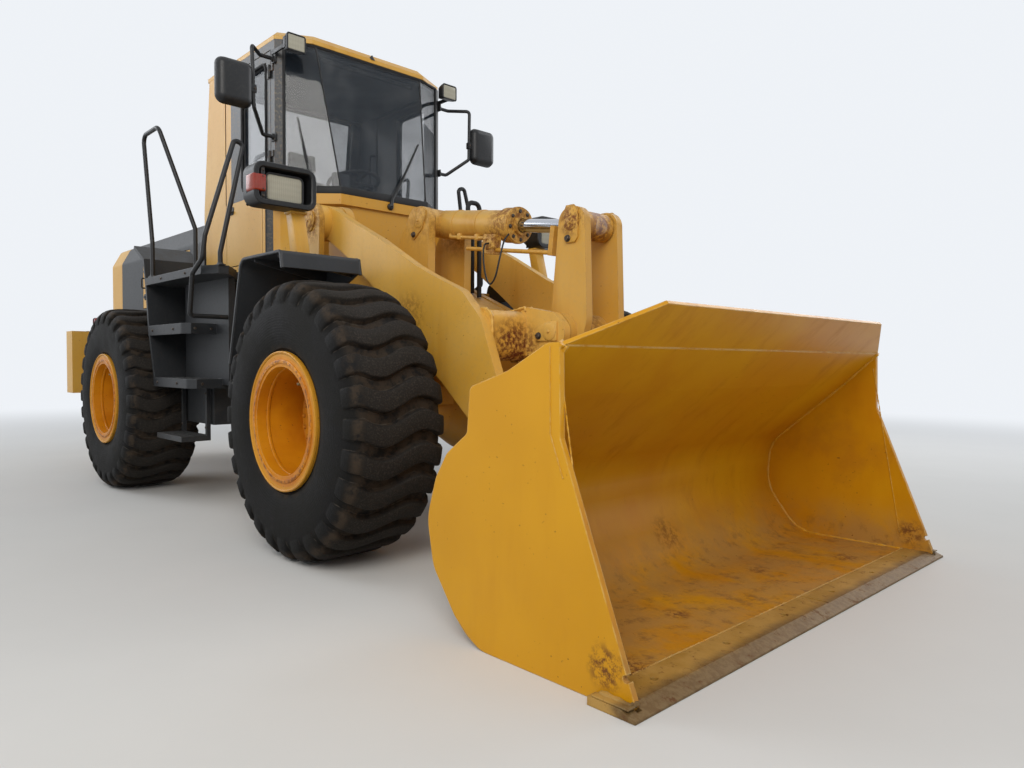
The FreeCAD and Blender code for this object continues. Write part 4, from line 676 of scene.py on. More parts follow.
class Shape:
    # points and faces that grow into one piece

    def __init__(self):
        self.points = []
        self.faces = []

    def take(self, points, faces, flip=False):
        start = len(self.points)
        self.points += [Vector(point) for point in points]
        self.faces += [[start + i for i in (face[::-1] if flip else face)] for face in faces]

    def takeFrom(self, mesh):
        # a grown mesh, back in the measure from the front axle
        shift = Vector((ahead, 0, 0))
        self.take([vert.co - shift for vert in mesh.vertices],
                [list(face.vertices) for face in mesh.polygons])
        bpy.data.meshes.remove(mesh)

    def takeMesh(self, mesh, bevel=0.0, steps=2, turn=None):
        bmesh.ops.recalc_face_normals(mesh, faces=mesh.faces)
        if bevel > 0:
            sharp = [edge for edge in mesh.edges
                    if len(edge.link_faces) == 2 and edge.calc_face_angle() > 0.6]
            bmesh.ops.bevel(mesh, geom=sharp, offset=bevel, offset_type="OFFSET", segments=steps, profile=0.5,
                    affect="EDGES", clamp_overlap=True)
        mesh.verts.index_update()
        points = [(turn @ vert.co) if turn else vert.co.copy() for vert in mesh.verts]
        self.take(points, [[vert.index for vert in face.verts] for face in mesh.faces])
        mesh.free()

    def slab(self, corners, low, high, plane="side", bevel=0.0, turn=None):
        # a plate: its outline in one view, swept from low to high
        put = viewAxes[plane]
        mesh = bmesh.new()
        outline = rounded(corners)
        ends = [[mesh.verts.new(put(p[0], p[1], w)) for p in outline] for w in (low, high)]
        mesh.faces.new(ends[0])
        mesh.faces.new(ends[1])
        for i in range(len(outline)):
            k = (i + 1) % len(outline)
            mesh.faces.new((ends[0][i], ends[0][k], ends[1][k], ends[1][i]))
        self.takeMesh(mesh, bevel, turn=turn)

    def plate(self, start, end, radius, low, high, plane="side", bevel=0.0, turn=None):
        # a slab with four corners alike
        self.slab([(start[0], start[1], radius), (end[0], start[1], radius), (end[0], end[1], radius),
                (start[0], end[1], radius)], low, high, plane, bevel, turn)

    def box(self, low, high, bevel=0.0, turn=None):
        self.slab([(low[0], low[1]), (high[0], low[1]), (high[0], high[1]),
                (low[0], high[1])], low[2], high[2],
                "plan", bevel, turn)

    def turned(self, profile, centre, axis, sides=40, closed=False):
        # a profile of (along, radius) turned about an axis
        axis = Vector(axis).normalized()
        first = axis.orthogonal().normalized()
        second = axis.cross(first)
        rings = []
        points = []
        for along, radius in profile:
            if radius < 1e-6:
                rings.append([len(points)])
                points.append(Vector(centre) + axis * along)
                continue
            rings.append(list(range(len(points), len(points) + sides)))
            points += ringOf(Vector(centre) + axis * along, first, second, radius, sides)
        faces = []
        pairs = list(zip(rings, rings[1:])) + ([(rings[-1], rings[0])] if closed else [])
        for one, two in pairs:
            for k in range(sides):
                m = (k + 1) % sides
                corners = [one[k % len(one)], one[m % len(one)], two[m % len(two)], two[k % len(two)]]
                faces.append(list(dict.fromkeys(corners)))
        if not closed:
            faces += [ring for ring in (rings[0], rings[-1]) if len(ring) > 1]
        mesh = bmesh.new()
        verts = [mesh.verts.new(point) for point in points]
        for face in faces:
            if len(face) > 2:
                mesh.faces.new([verts[i] for i in face])
        self.takeMesh(mesh)

    def band(self, reach, radii, centre, axis, sides=40):
        # a flat ring round an axis
        (low, high), (inner, outer) = reach, radii
        self.turned([(low, inner), (low, outer), (high, outer), (high, inner)], centre,
                axis, sides, closed=True)

    def tube(self, path, radius, sides=12, squash=1.0, ripple=0.0):
        # a round bar along a path; radius may be one number or one for each point
        path = [Vector(point) for point in path]
        radii = radius if isinstance(radius, (list, tuple)) else [radius] * len(path)
        way = (path[1] - path[0]).normalized()
        side = way.orthogonal().normalized()
        rings = []
        for i, point in enumerate(path):
            way = (path[min(i + 1, len(path) - 1)] - path[max(i - 1, 0)]).normalized()
            side = (side - way * side.dot(way)).normalized()
            up = way.cross(side)
            wide = radii[i] * (1 + ripple * math.sin(i * 2.4) * 0.5 + ripple * math.sin(i * 1.1) * 0.5)
            rings.append(ringOf(point, side, up * squash, wide, sides))
        self.lofted(rings)

    def bead(self, points, radius):
        # a weld run: a low rippled bar
        path = []
        for start, end in zip(points, points[1:]):
            start, end = Vector(start), Vector(end)
            count = max(2, int((end - start).length / (radius * 2.2)))
            path += [start.lerp(end, k / count) for k in range(count)]
        self.tube(path + [Vector(points[-1])], radius, 6, ripple=0.5)

    def hexBolt(self, centre, axis, size, washer=True):
        # a hexagon head on its washer, standing out along the axis from the centre
        if washer:
            self.turned([(0, 0), (0, size * 1.12), (size * 0.16, size * 1.12), (size * 0.18, size * 0.9),
                    (size * 0.18, 0)], centre, axis, 20)
        self.turned([(size * 0.1, 0), (size * 0.1, size * 0.9), (size * 0.72, size * 0.9),
                (size * 0.86, size * 0.76),
                (size * 0.86, 0)], centre, axis, 6)

    def lofted(self, loops, closed=False, bevel=0.0):
        # a skin over outlines with as many points each, capped unless it closes on itself
        mesh = bmesh.new()
        rings = [[mesh.verts.new(point) for point in loop] for loop in loops]
        pairs = list(zip(rings, rings[1:])) + ([(rings[-1], rings[0])] if closed else [])
        for one, two in pairs:
            for k in range(len(one)):
                m = (k + 1) % len(one)
                mesh.faces.new((one[k], one[m], two[m], two[k]))
        if not closed:
            mesh.faces.new(rings[0])
            mesh.faces.new(rings[-1])
        self.takeMesh(mesh, bevel)

    def shell(self, face, corner, steps, closed=False):
        # a skin over round-cornered outlines, one for each (x, inset)
        self.lofted([endLoop(x, *face, corner, inset) for x, inset in steps], closed)

    def loop(self, points, radius, sides=8):
        # a round bar that closes on itself
        points = [Vector(point) for point in points]
        rings = []
        count = len(points)
        for i, point in enumerate(points):
            way = (points[(i + 1) % count] - points[i - 1]).normalized()
            side = way.orthogonal().normalized() if i == 0 else (side - way * side.dot(way)).normalized()
            up = way.cross(side)
            rings.append(ringOf(point, side, up, radius, sides))
        self.lofted(rings, closed=True)

    def both(self):
        # the same again on the other side of the machine
        points = [Vector((point.x, -point.y, point.z)) for point in self.points]
        self.take(points, list(self.faces), flip=True)
        return self

    def mirrored(self):
        other = Shape()
        other.take([(point.x, -point.y, point.z) for point in self.points], self.faces, flip=True)
        return other

    def piece(self, name, finish, body, slot=None, instead=(), angle=34):
        mesh = bpy.data.meshes.new(name)
        mesh.from_pydata([(p.x + ahead, p.y, p.z) for p in self.points], [], self.faces)
        mesh.materials.append(finishes[finish])
        return standing(name, mesh, body, instead, angle)


def standing(name, mesh, body, instead=(), angle=34):
    # a finished mesh becomes a piece of the scene that moves with its body
    mesh.update()
    mesh.shade_smooth()
    mesh.set_sharp_from_angle(angle=math.radians(angle))
    piece = bpy.data.objects.new(name, mesh)
    bpy.context.scene.collection.objects.link(piece)
    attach(piece, body)
    if instead:
        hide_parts(*instead)
    return piece


class Layout:
    # a geometry tree with named inputs; values are set by the sockets' identifiers

    def __init__(self, name, inputs):
        self.tree = bpy.data.node_groups.new(name, "GeometryNodeTree")
        self.names = {}
        for label, kind, default in inputs:
            socket = self.tree.interface.new_socket(label, in_out="INPUT", socket_type="NodeSocket" + kind)
            if default is not None:
                socket.default_value = default
            self.names[label] = socket.identifier
        self.tree.interface.new_socket("Geometry", in_out="OUTPUT", socket_type="NodeSocketGeometry")
        self.source = self.tree.nodes.new("NodeGroupInput")
        self.sink = self.tree.nodes.new("NodeGroupOutput")

    def given(self, label):
        return self.source.outputs[label]

    def add(self, kind, settings=None, sockets=None, output=0):
        node = self.tree.nodes.new(kind)
        for name, value in (settings or {}).items():
            setattr(node, name, value)
        for name, value in (sockets or {}).items():
            if isinstance(value, bpy.types.NodeSocket):
                self.tree.links.new(value, node.inputs[name])
            else:
                node.inputs[name].default_value = value
        return node.outputs[output]

    def end(self, points, offset, extra):
        # the points go to their offset from the centre, the shape to the points
        place = self.add("ShaderNodeVectorMath", {"operation": "ADD"}, {0: offset, 1: self.given("Centre")})
        moved = self.add("GeometryNodeSetPosition", {}, {"Geometry": points, "Position": place})
        copies = self.add("GeometryNodeInstanceOnPoints", {},
                {"Points": moved, "Instance": self.given("Geometry"), **extra})
        real = self.add("GeometryNodeRealizeInstances", {}, {"Geometry": copies})
        dressed = self.add("GeometryNodeSetMaterial", {}, {"Geometry": real,
                "Material": self.given("Finish")})
        self.tree.links.new(dressed, self.sink.inputs["Geometry"])

    def grown(self, shape, values, finish):
        # the tree on one shape's mesh, evaluated into a plain mesh
        mesh = bpy.data.meshes.new("seed")
        mesh.from_pydata([tuple(p) for p in shape.points], [], shape.faces)
        mesh.shade_smooth()
        mesh.set_sharp_from_angle(angle=math.radians(34))
        seed = bpy.data.objects.new("seed", mesh)
        bpy.context.scene.collection.objects.link(seed)
        modifier = seed.modifiers.new("layout", "NODES")
        modifier.node_group = self.tree
        for label, value in values.items():
            modifier[self.names[label]] = value
        modifier[self.names["Finish"]] = finishes[finish]
        seed.update_tag()
        bpy.context.view_layer.update()
        graph = bpy.context.evaluated_depsgraph_get()
        result = bpy.data.meshes.new_from_object(seed.evaluated_get(graph))
        seed.modifiers.remove(modifier)
        bpy.data.objects.remove(seed)
        return result


def ringLayout():
    # copies of a shape round an axis that lies along y
    layout = Layout("ringOfCopies", [("Geometry", "Geometry", None), ("Count", "Int", 12),
            ("Radius", "Float", 0.1),
            ("Start", "Float", 0.0), ("Centre", "Vector", None), ("Finish", "Material", None)])
    points = layout.add("GeometryNodePoints", {}, {"Count": layout.given("Count")})
    index = layout.add("GeometryNodeInputIndex")
    share = layout.add("ShaderNodeMath", {"operation": "DIVIDE"}, {0: index, 1: layout.given("Count")})
    angle = layout.add("ShaderNodeMath", {"operation": "MULTIPLY_ADD"},
            {0: share, 1: math.tau, 2: layout.given("Start")})
    turn = layout.add("ShaderNodeCombineXYZ", {}, {"Y": angle})
    reach = layout.add("ShaderNodeCombineXYZ", {}, {"Z": layout.given("Radius")})
    out = layout.add("ShaderNodeVectorRotate", {"rotation_type": "EULER_XYZ"},
            {"Vector": reach, "Rotation": turn})
    layout.end(points, out, {"Rotation": turn})
    return layout


def gridLayout():
    # copies of a shape in rows: two counts and two steps
    layout = Layout("rowsOfCopies", [("Geometry", "Geometry", None), ("Across", "Int", 3), ("Down", "Int", 3),
            ("Step across", "Vector", None), ("Step down", "Vector", None),
            ("Centre", "Vector", None), ("Finish", "Material", None)])
    total = layout.add("ShaderNodeMath", {"operation": "MULTIPLY"},
            {0: layout.given("Across"), 1: layout.given("Down")})
    points = layout.add("GeometryNodePoints", {}, {"Count": total})
    index = layout.add("GeometryNodeInputIndex")
    row = layout.add("ShaderNodeMath", {"operation": "DIVIDE"}, {0: index, 1: layout.given("Across")})
    row = layout.add("ShaderNodeMath", {"operation": "FLOOR"}, {0: row})
    column = layout.add("ShaderNodeMath", {"operation": "MODULO"}, {0: index, 1: layout.given("Across")})
    one = layout.add("ShaderNodeVectorMath", {"operation": "SCALE"},
            {0: layout.given("Step across"), "Scale": column})
    two = layout.add("ShaderNodeVectorMath", {"operation": "SCALE"}, {0: layout.given("Step down"),
            "Scale": row})
    both = layout.add("ShaderNodeVectorMath", {"operation": "ADD"}, {0: one, 1: two})
    layout.end(points, both, {})
    return layout


rings = ringLayout()
rows = gridLayout()


# Wheels

tyreLook = {
    "radius": 0.78,
    "bars": 28,
    "depth": 0.05,
    "wave": 0.037,
    "halfTop": 0.045,
    "halfFoot": 0.06,
    "sides": 112,
    "wear": 0.0016,
}
casingHalf = [  # y from the tyre's middle, radius
    (0.255, 0.3186), (0.2553, 0.386), (0.262, 0.398), (0.27, 0.402), (0.272, 0.412),
        (0.282, 0.436), (0.291, 0.48),
    (0.2945, 0.525), (0.294, 0.575), (0.288, 0.628), (0.276, 0.672), (0.256, 0.708),
        (0.228, 0.731), (0.185, 0.74),
]
barHalf = [(0.2955, 0.622), (0.2935, 0.664), (0.284, 0.706), (0.266, 0.739), (0.243, 0.761),
        (0.212, 0.7725), (0.17, 0.7765),
        (0.13, 0.7782), (0.09, 0.7792), (0.045, 0.7798)]
wheelPlaces = {"front": 0.0, "rear": -3.3}
wheelTrack = 1.1


def treadBar(look):
    # one bar, bent one way and then the other, that runs down both shoulders
    path = [(-y, r) for y, r in barHalf] + [(0.0, look["radius"])] + barHalf[::-1]
    rings = []
    last = len(path) - 1
    for i, (y, r) in enumerate(path):
        y0, r0 = path[max(i - 1, 0)]
        y1, r1 = path[min(i + 1, last)]
        normal = Vector((-(r1 - r0), y1 - y0)).normalized()
        sway = -look["wave"] * math.sin(math.pi * y / 0.235) if abs(y) < 0.235 else 0.0
        lift = 0.0 if 1 < i < last - 1 else (-0.004 if 0 < i < last else -0.016)
        top, foot, deep = look["halfTop"], look["halfFoot"], look["depth"]
        section = [(-foot, -deep), (-top - 0.007, -0.012), (-top - 0.004, -0.004),
                (-top + 0.003, 0.0), (0.0, 0.0),
                (top - 0.003, 0.0), (top + 0.004, -0.004), (top + 0.007, -0.012), (foot, -deep)]
        ring = []
        for along, out in section:
            out = out + (lift if out > -0.03 else 0.0) - along * along / (2 * look["radius"])
            ring.append((along + sway, y + normal.x * out, r + normal.y * out - look["radius"]))
        rings.append(ring)
    bar = Shape()
    bar.lofted(rings)
    return bar


def buildTyres(look):
    bar = treadBar(look)
    for end, x in wheelPlaces.items():
        for side, y in (("left", wheelTrack), ("right", -wheelTrack)):
            tyre = Shape()
            profile = casingHalf + [(0.0, 0.7425)] + [(-across, radius) for across,
                    radius in casingHalf[::-1]]
            tyre.turned(profile, (x, y, look["radius"]), (0, 1, 0),
                    look["sides"], closed=True)
            bars = rings.grown(bar, {"Count": look["bars"], "Radius": look["radius"], "Start": 0.0,
                    "Centre": (x + ahead, y, look["radius"])}, finishOf(end))
            tyre.takeFrom(bars)
            for point in tyre.points:
                away = Vector((point.x - x, 0.0, point.z - look["radius"]))
                if away.length > 0.7:
                    worn = noise.noise(Vector((point.x * 9, point.y * 9 + x, point.z * 9))) * look["wear"]
                    away.length = min(away.length + worn - look["wear"] * 0.5, look["radius"])
                    point.x = x + away.x
                    point.z = look["radius"] + away.z
            name = end + "_" + side
            tyre.piece("tyre_tread_" + name, finishOf(end), "wheel_" + name,
                    instead=["tyre_" + name], angle=38)


def finishOf(end):
    return "tyreFront" if end == "front" else "tyreRear"


rimLook = {
    "nuts": 20,
    "nutCircle": 0.258,
    "hubBolts": 12,
    "hubCircle": 0.125,
}


def buildRimTrim(look):
    # lock ring, flange bead, weld rings, wheel nuts, hub bolts and the valve
    for end, x in wheelPlaces.items():
        for side in (1, -1):
            trim = Shape()
            centre = (x, 0.0, 0.78)
            out = (0, side, 0)
            for profile in (
                    [(1.3785, 0.317), (1.386, 0.319), (1.387, 0.333), (1.384, 0.339), (1.3785, 0.341)],
                    [(1.372, 0.369), (1.3845, 0.372), (1.389, 0.379), (1.385, 0.3855), (1.372, 0.3865)],
                    [(1.3, 0.3005), (1.306, 0.2955), (1.318, 0.2955), (1.324, 0.3005)],
                    [(1.0795, 0.302), (1.0795, 0.288), (1.085, 0.289), (1.092, 0.296), (1.094, 0.302)],
                    [(1.0795, 0.206), (1.0795, 0.226), (1.089, 0.224), (1.091, 0.206)]):
                trim.turned(profile, centre, out, 72, closed=True)
            for count, circle, face, size in ((look["nuts"], look["nutCircle"], 1.08, 0.017),
                    (look["hubBolts"], look["hubCircle"], 1.175, 0.012)):
                bolt = Shape()
                bolt.hexBolt((0, 0, 0), out, size)
                if count == look["nuts"]:
                    bolt.turned([(0.012, 0), (0.012, 0.009), (0.03, 0.009), (0.032, 0.006), (0.032, 0)],
                            (0, 0, 0), out, 10)
                trim.takeFrom(rings.grown(bolt, {"Count": count, "Radius": circle, "Start": 0.13,
                        "Centre": (x + ahead, side * face, 0.78)}, "rimFront"))
            trim.turned([(1.17, 0), (1.17, 0.045), (1.186, 0.045), (1.19, 0.04), (1.19, 0)], centre, out, 24)
            name = end + "_" + ("left" if side > 0 else "right")
            trim.piece("rim_trim_" + name, "rimFront" if end == "front" else "rimRear", "wheel_" + name,
                    "rim_" + name)
            valve = Shape()
            valve.tube(bentPath([(x + 0.2, side * 1.3, 0.78 + 0.215), (x + 0.195, side * 1.345, 0.78 + 0.21),
                    (x + 0.195, side * 1.372, 0.78 + 0.21)], 0.01), 0.006, 8)
            valve.turned([(0, 0), (0, 0.0085), (0.014, 0.0085), (0.018, 0.006), (0.018, 0)],
                    (x + 0.195, side * 1.368, 0.78 + 0.21), out, 10)
            valve.piece("tyre_valve_" + name, "brass", "wheel_" + name, "rim_" + name)


buildTyres(tyreLook)
buildRimTrim(rimLook)
print("wheels ready")


# Bucket, boom and linkage

def pinEnd(shape, centre, face, radius, proud):
    # the pin's chamfered end with its grease nipple
    side = 1 if face > 0 else -1
    x, z = centre
    shape.turned([(-0.001, 0), (-0.001, radius), (proud, radius), (proud + 0.004, radius - 0.007),
            (proud + 0.004, 0.009), (proud + 0.012, 0.006), (proud + 0.014, 0)],
            (x, face, z), (0, side, 0), 32)


longPlate = [(-0.035, 0.1, 0), (0.02, 0.1, 0), (0.05, 0.07, 0), (0.05, -0.085, 0), (0.028, -0.11, 0),
        (-0.03, -0.11, 0), (-0.05, -0.09, 0), (-0.05, 0.07, 0)]
wedgePlate = [(-0.085, -0.095, 0), (-0.06, -0.125, 0), (0.03, -0.06, 0), (0.072, 0.02, 0), (0.072, 0.062, 0),
        (0.04, 0.082, 0), (0.0, 0.082, 0), (-0.035, 0.055, 0)]
halfPlate = [(-0.1, -0.06, 0.03), (0.03, -0.072, 0.06), (0.072, -0.01, 0.06), (0.06, 0.062, 0.05),
        (-0.03, 0.075, 0.03), (-0.1, 0.0, 0.03)]
pinPlan = [  # piece, body, slot, pin (x, z), face y, pin radius, plate, bolts
    ("boom_root_keepers", "front_frame", "front_frame", (-0.92, 2.08), 0.7, 0.05,
        halfPlate, [(-0.075, -0.03)]),
    ("tilt_base_keepers", "front_frame", "front_frame", (-0.34, 2.075), 0.19, 0.05,
        wedgePlate, [(-0.055, -0.09)]),
    ("lift_base_keepers", "front_frame", "front_frame", (-1.25, 1.25), 0.7, 0.04,
        halfPlate, [(-0.075, -0.03)]),
    ("crank_top_keepers", "bell_crank", "bell_crank", (1.03, 1.885), 0.165, 0.04,
        longPlate, [(-0.02, -0.085)]),
    ("crank_foot_keepers", "bell_crank", "bell_crank", (0.76, 0.52), 0.165, 0.04,
        longPlate, [(-0.02, -0.085)]),
    ("crank_pivot_keepers", "boom", "boom", (0.97, 1.28), 0.27, 0.048,
     [(-0.105, -0.052, 0), (0.055, -0.052, 0), (0.055, 0.055, 0), (-0.02, 0.055, 0), (-0.105, 0.02, 0)],
     [(-0.08, -0.022)]),
    ("bucket_pin_keepers", "bucket", "bucket", (1.2, 0.33), 0.685, 0.045, halfPlate, [(-0.075, -0.03)]),
    ("link_pin_keepers", "bucket", "bucket", (1.31, 0.81), 0.145, 0.04,
     [(-0.03, -0.035, 0.02), (0.12, -0.035, 0.02), (0.12, 0.045, 0.02), (-0.02, 0.045,
        0.02)], [(0.088, 0.005)]),
]


def buildPins():
    for name, body, slot, centre, face, radius, plate, bolts in pinPlan:
        plates = Shape()
        heads = Shape()
        for side in (1, -1):
            pinEnd(plates, centre, side * face, radius + 0.001, 0.013)
            x, z = centre
            low, high = sorted((side * face - side * 0.001, side * (face + 0.011)))
            plates.slab([(x + u, z + v, r) for u, v, r in plate], low, high, "side", 0.002)
            for u, v in bolts:
                heads.hexBolt((x + u, side * (face + 0.011), z + v), (0, side, 0), 0.018)
        plates.piece(name, {"front_frame": "frontFrame", "boom": "boom", "bell_crank": "crank",
                "bucket": "fresh"}[body], body, slot)
        heads.piece(name + "_bolts", "bolt", body, slot)


buildPins()


def offsetPath(path, distance):
    # an open outline moved sideways, to the left of its way for a distance above 0
    normals = []
    for start, end in zip(path, path[1:]):
        run = Vector((end[0] - start[0], end[1] - start[1])).normalized()
        normals.append(Vector((-run.y, run.x)))
    moved = []
    for i, point in enumerate(path):
        one = normals[max(i - 1, 0)]
        two = normals[min(i, len(normals) - 1)]
        out = (one + two) * (distance / (1 + one.dot(two)))
        moved.append((point[0] + out.x, point[1] + out.y, max(point[2] - distance, 0) if point[2] else 0))
    return moved


bucketLook = {
    "plate": 1.384,
    "outer": 1.408,
    "seam": 0.0075,
    "floorSeam": 0.0035,
}
shellPath = [(2.086, 1.184, 0), (1.893, 1.003, 0.06), (1.403, 0.592, 0.24),
        (1.382, 0.295, 0.3), (1.61, 0.0, 0.26),
        (2.262, 0.0, 0)]


def buildBucketTrim(look):
    seams = Shape()
    for y, distance in ((look["plate"], 0.0235), (look["plate"], -0.002)):
        corners = offsetPath(shellPath, distance)
        line = rounded(corners, 7)
        if distance < 0:
            line = [p for p in line if p.y > 0.02 or p.x < 1.6][:-1]
        seams.bead([(p.x, y - 0.001, p.y) for p in line if p.x < 2.3], look["seam"])
    top = look["outer"] + 0.0005
    seams.bead([(2.046, top, 1.166), (2.05, top, 0.862), (2.11, top, 0.715)], 0.0028)
    seams.bead([(2.075, look["plate"] - 0.0005, 1.08), (2.24, look["plate"] - 0.0005, 0.12)], 0.003)
    for y in (0.52, 0.69):
        side = 0.009 if y > 0.6 else -0.009
        seams.bead([(1.43, y + side, 0.6), (1.375, y + side, 0.4), (1.395, y + side,
                0.26), (1.52, y + side, 0.1)],
                0.008)
    seams.both().piece("bucket_seams", "fresh", "bucket", "bucket")
    cross = Shape()
    cross.bead([(2.2615, -1.382, 0.0302), (2.2615, 1.382, 0.0302)], look["floorSeam"])
    cross.bead([(2.092, -1.382, 1.1765), (2.092, 1.382, 1.1765)], 0.0045)
    cross.piece("bucket_floor_seam", "bucket", "bucket", "bucket")
    corner = Shape()
    corner.bead([(2.285, 1.413, 0.033), (2.412, 1.413, 0.033)], 0.01)
    corner.bead([(2.412, 1.41, 0.036), (2.416, 1.386, 0.036)], 0.009)
    corner.box((2.275, 1.4095, 0.0305), (2.425, 1.45, 0.036), 0.002)
    corner.both()
    corner.bead([(2.268, 0.06, 0.0304), (2.392, 0.06, 0.0304)], 0.003)
    corner.piece("cutting_edge_welds", "edge", "bucket", "cutting_edge")


def ringBead(shape, corners, y, radius):
    line = rounded(corners)
    shape.bead([(p.x, y, p.y) for p in line + line[:1]], radius)


def alongAxis(mesh, start, run):
    # a mesh grown round y, turned to another axis and moved to its start
    turn = Vector((0, 1, 0)).rotation_difference(Vector(run)).to_matrix().to_4x4()
    mesh.transform(Matrix.Translation((start[0] + ahead, start[1], start[2])) @ turn)
    return mesh


boomLook = {
    "armInner": 0.54,
    "tube": (0.64, 1.26),
    "tubeHalf": 0.142,
}


def buildBoomTrim(look):
    welds = Shape()
    x, z = look["tube"]
    half = look["tubeHalf"] + 0.003
    square = [(x - half, z - half, 0.07), (x + half, z - half, 0.07), (x + half, z + half, 0.07),
            (x - half, z + half, 0.07)]
    ringBead(welds, square, look["armInner"] - 0.004, 0.01)
    for y in (0.217, 0.273):
        welds.bead([(x - 0.02, y, z + 0.138), (x + 0.13, y, z + 0.163), (x + 0.14, y, z + 0.14)], 0.008)
        welds.bead([(x + 0.02, y, z - 0.145), (x + 0.13, y, z - 0.15)], 0.008)
    circle = [(1.2 + 0.114 * math.cos(math.tau * k / 28), 0.33 + 0.114 * math.sin(math.tau * k / 28), 0)
            for k in range(28)]
    ringBead(welds, circle, 0.602, 0.008)
    ringBead(welds, circle, 0.538, 0.008)
    welds.both().piece("boom_welds", "boom", "boom", "boom")


cylinderPlan = [  # piece, body, slot, finish, start, towards, gland face, rod radius, gland radius, bolts
    ("tilt_gland", "tilt_barrel", "tilt_barrel", "cylinder", (-0.34, 0.0, 2.075),
        (1.03, 0.0, 1.885), 0.8, 0.041, 0.11, 8),
    ("lift_gland_left", "lift_barrel_left", "lift_barrel_left", "boom", (-1.25, 0.57, 1.25),
        (0.17, 0.57, 1.21), 1.2206,
     0.045, 0.0825, 6),
    ("lift_gland_right", "lift_barrel_right", "lift_barrel_right", "boom",
        (-1.25, -0.57, 1.25), (0.17, -0.57, 1.21),
     1.2206, 0.045, 0.0825, 6),
]


def buildGlands():
    for name, body, slot, finish, start, towards, face, rodRadius, glandRadius, count in cylinderPlan:
        run = (Vector(towards) - Vector(start)).normalized()
        gland = Shape()
        gland.turned([(face - 0.001, rodRadius + 0.0015), (face + 0.02, rodRadius + 0.0015),
                (face + 0.024, rodRadius + 0.006), (face + 0.024, rodRadius + 0.018),
                (face - 0.001, rodRadius + 0.02)], start, run, 40, closed=True)
        gland.turned([(face - 0.03, glandRadius - 0.002), (face - 0.03, glandRadius + 0.005),
                (face - 0.012, glandRadius + 0.005), (face - 0.01, glandRadius - 0.002)], start, run, 48,
                closed=True)
        if name == "tilt_gland":
            for along, wide in ((0.2, 0.0985), (0.44, 0.0985)):
                gland.band((along, along + 0.03), (wide - 0.006, wide), start, run, 48)
            pipe = Vector(start) + Vector((0, -0.07, -0.092))
            gland.tube(bentPath([pipe + run * 0.18 + Vector((0, 0.02, 0.03)), pipe + run * 0.18,
                    pipe + run * 0.62], 0.02),
                    0.012, 10)
            for along in (0.29, 0.47):
                middle = pipe + run * along
                gland.box(middle - Vector((0.016, 0.016, 0.016)), middle + Vector((0.016, 0.016, 0.024)),
                        0.003)
            block = Vector(start) + run * 0.655 + Vector((0, -0.124, -0.125))
            gland.box(block - Vector((0.04, 0.006, 0.04)), block + Vector((0.04, 0.004, 0.04)), 0.003)
            for dx, dz in ((-0.026, -0.026), (0.026, -0.026), (-0.026, 0.026), (0.026, 0.026)):
                gland.hexBolt(block + Vector((dx, -0.005, dz)), (0, -1, 0), 0.009)
        gland.piece(name, finish, body, slot)
        bolt = Shape()
        bolt.hexBolt((0, 0, 0), (0, 1, 0), 0.011)
        mesh = rings.grown(bolt, {"Count": count, "Radius": glandRadius - 0.022,
                "Start": 0.3, "Centre": (0, 0, 0)},
                "bolt")
        heads = Shape()
        heads.takeFrom(alongAxis(mesh, Vector(start) + run * face, run))
        heads.piece(name + "_bolts", "bolt", body, slot)


def buildFrameTrim():
    # the weld runs of the front frame, the hinge caps and the valve block between the plates
    welds = Shape()
    for y in (0.128, 0.192):
        welds.bead([(-0.735, y, 1.752), (-0.6, y, 1.687), (-0.25, y, 1.538)], 0.008)
    welds.bead([(-0.125, 0.418, 1.478), (0.335, 0.418, 1.181)], 0.008)
    welds.both().piece("front_frame_welds", "frontFrame", "front_frame", "front_frame")
    caps = Shape()
    bolts = Shape()
    for face, way in ((1.497, 1), (1.343, -1), (0.593, -1)):
        caps.turned([(-0.002, 0), (-0.002, 0.085), (0.014, 0.085), (0.02, 0.078),
                (0.02, 0)], (-1.65, 0, face),
                (0, 0, way), 32)
        for k in range(4):
            angle = math.tau * (k + 0.5) / 4
            place = (-1.65 + 0.062 * math.cos(angle), 0.062 * math.sin(angle), face + way * 0.019)
            bolts.hexBolt(place, (0, 0, way), 0.01)
    caps.piece("hinge_caps", "body", "rear_frame", "rear_frame")
    bolts.piece("hinge_cap_bolts", "bolt", "rear_frame", "rear_frame")
    valve = Shape()
    valve.box((-0.63, -0.22, 1.12), (-0.478, 0.22, 1.34), 0.008)
    for k in range(5):
        y = -0.18 + 0.09 * k
        valve.turned([(-0.004, 0), (-0.004, 0.026), (0.06, 0.026), (0.07, 0.018), (0.07, 0)],
                (-0.63, y, 1.27), (-1, 0, 0), 16)
        valve.turned([(-0.004, 0), (-0.004, 0.022), (0.035, 0.022), (0.04, 0.014), (0.04, 0)],
                (-0.57, y, 1.34), (0, 0, 1), 6)
    valve.piece("valve_block", "iron", "front_frame", "front_frame")
    lines = Shape()
    for side in (1, -1):
        for k in range(2):
            y = side * (0.09 + 0.09 * k)
            lines.tube(bentPath([(-0.57, y, 1.375), (-0.57, y, 1.46 + 0.04 * k),
                    (-0.7, side * 0.3, 1.47 + 0.04 * k),
                    (-0.8, side * 0.422, 1.4 - 0.05 * k)], 0.06), 0.014, 10)
    lines.piece("valve_hoses", "rubber", "front_frame", "hoses")


buildBucketTrim(bucketLook)
buildBoomTrim(boomLook)
buildGlands()
buildFrameTrim()
print("bucket, boom and cylinders ready")


# Lamps, mirrors and wipers

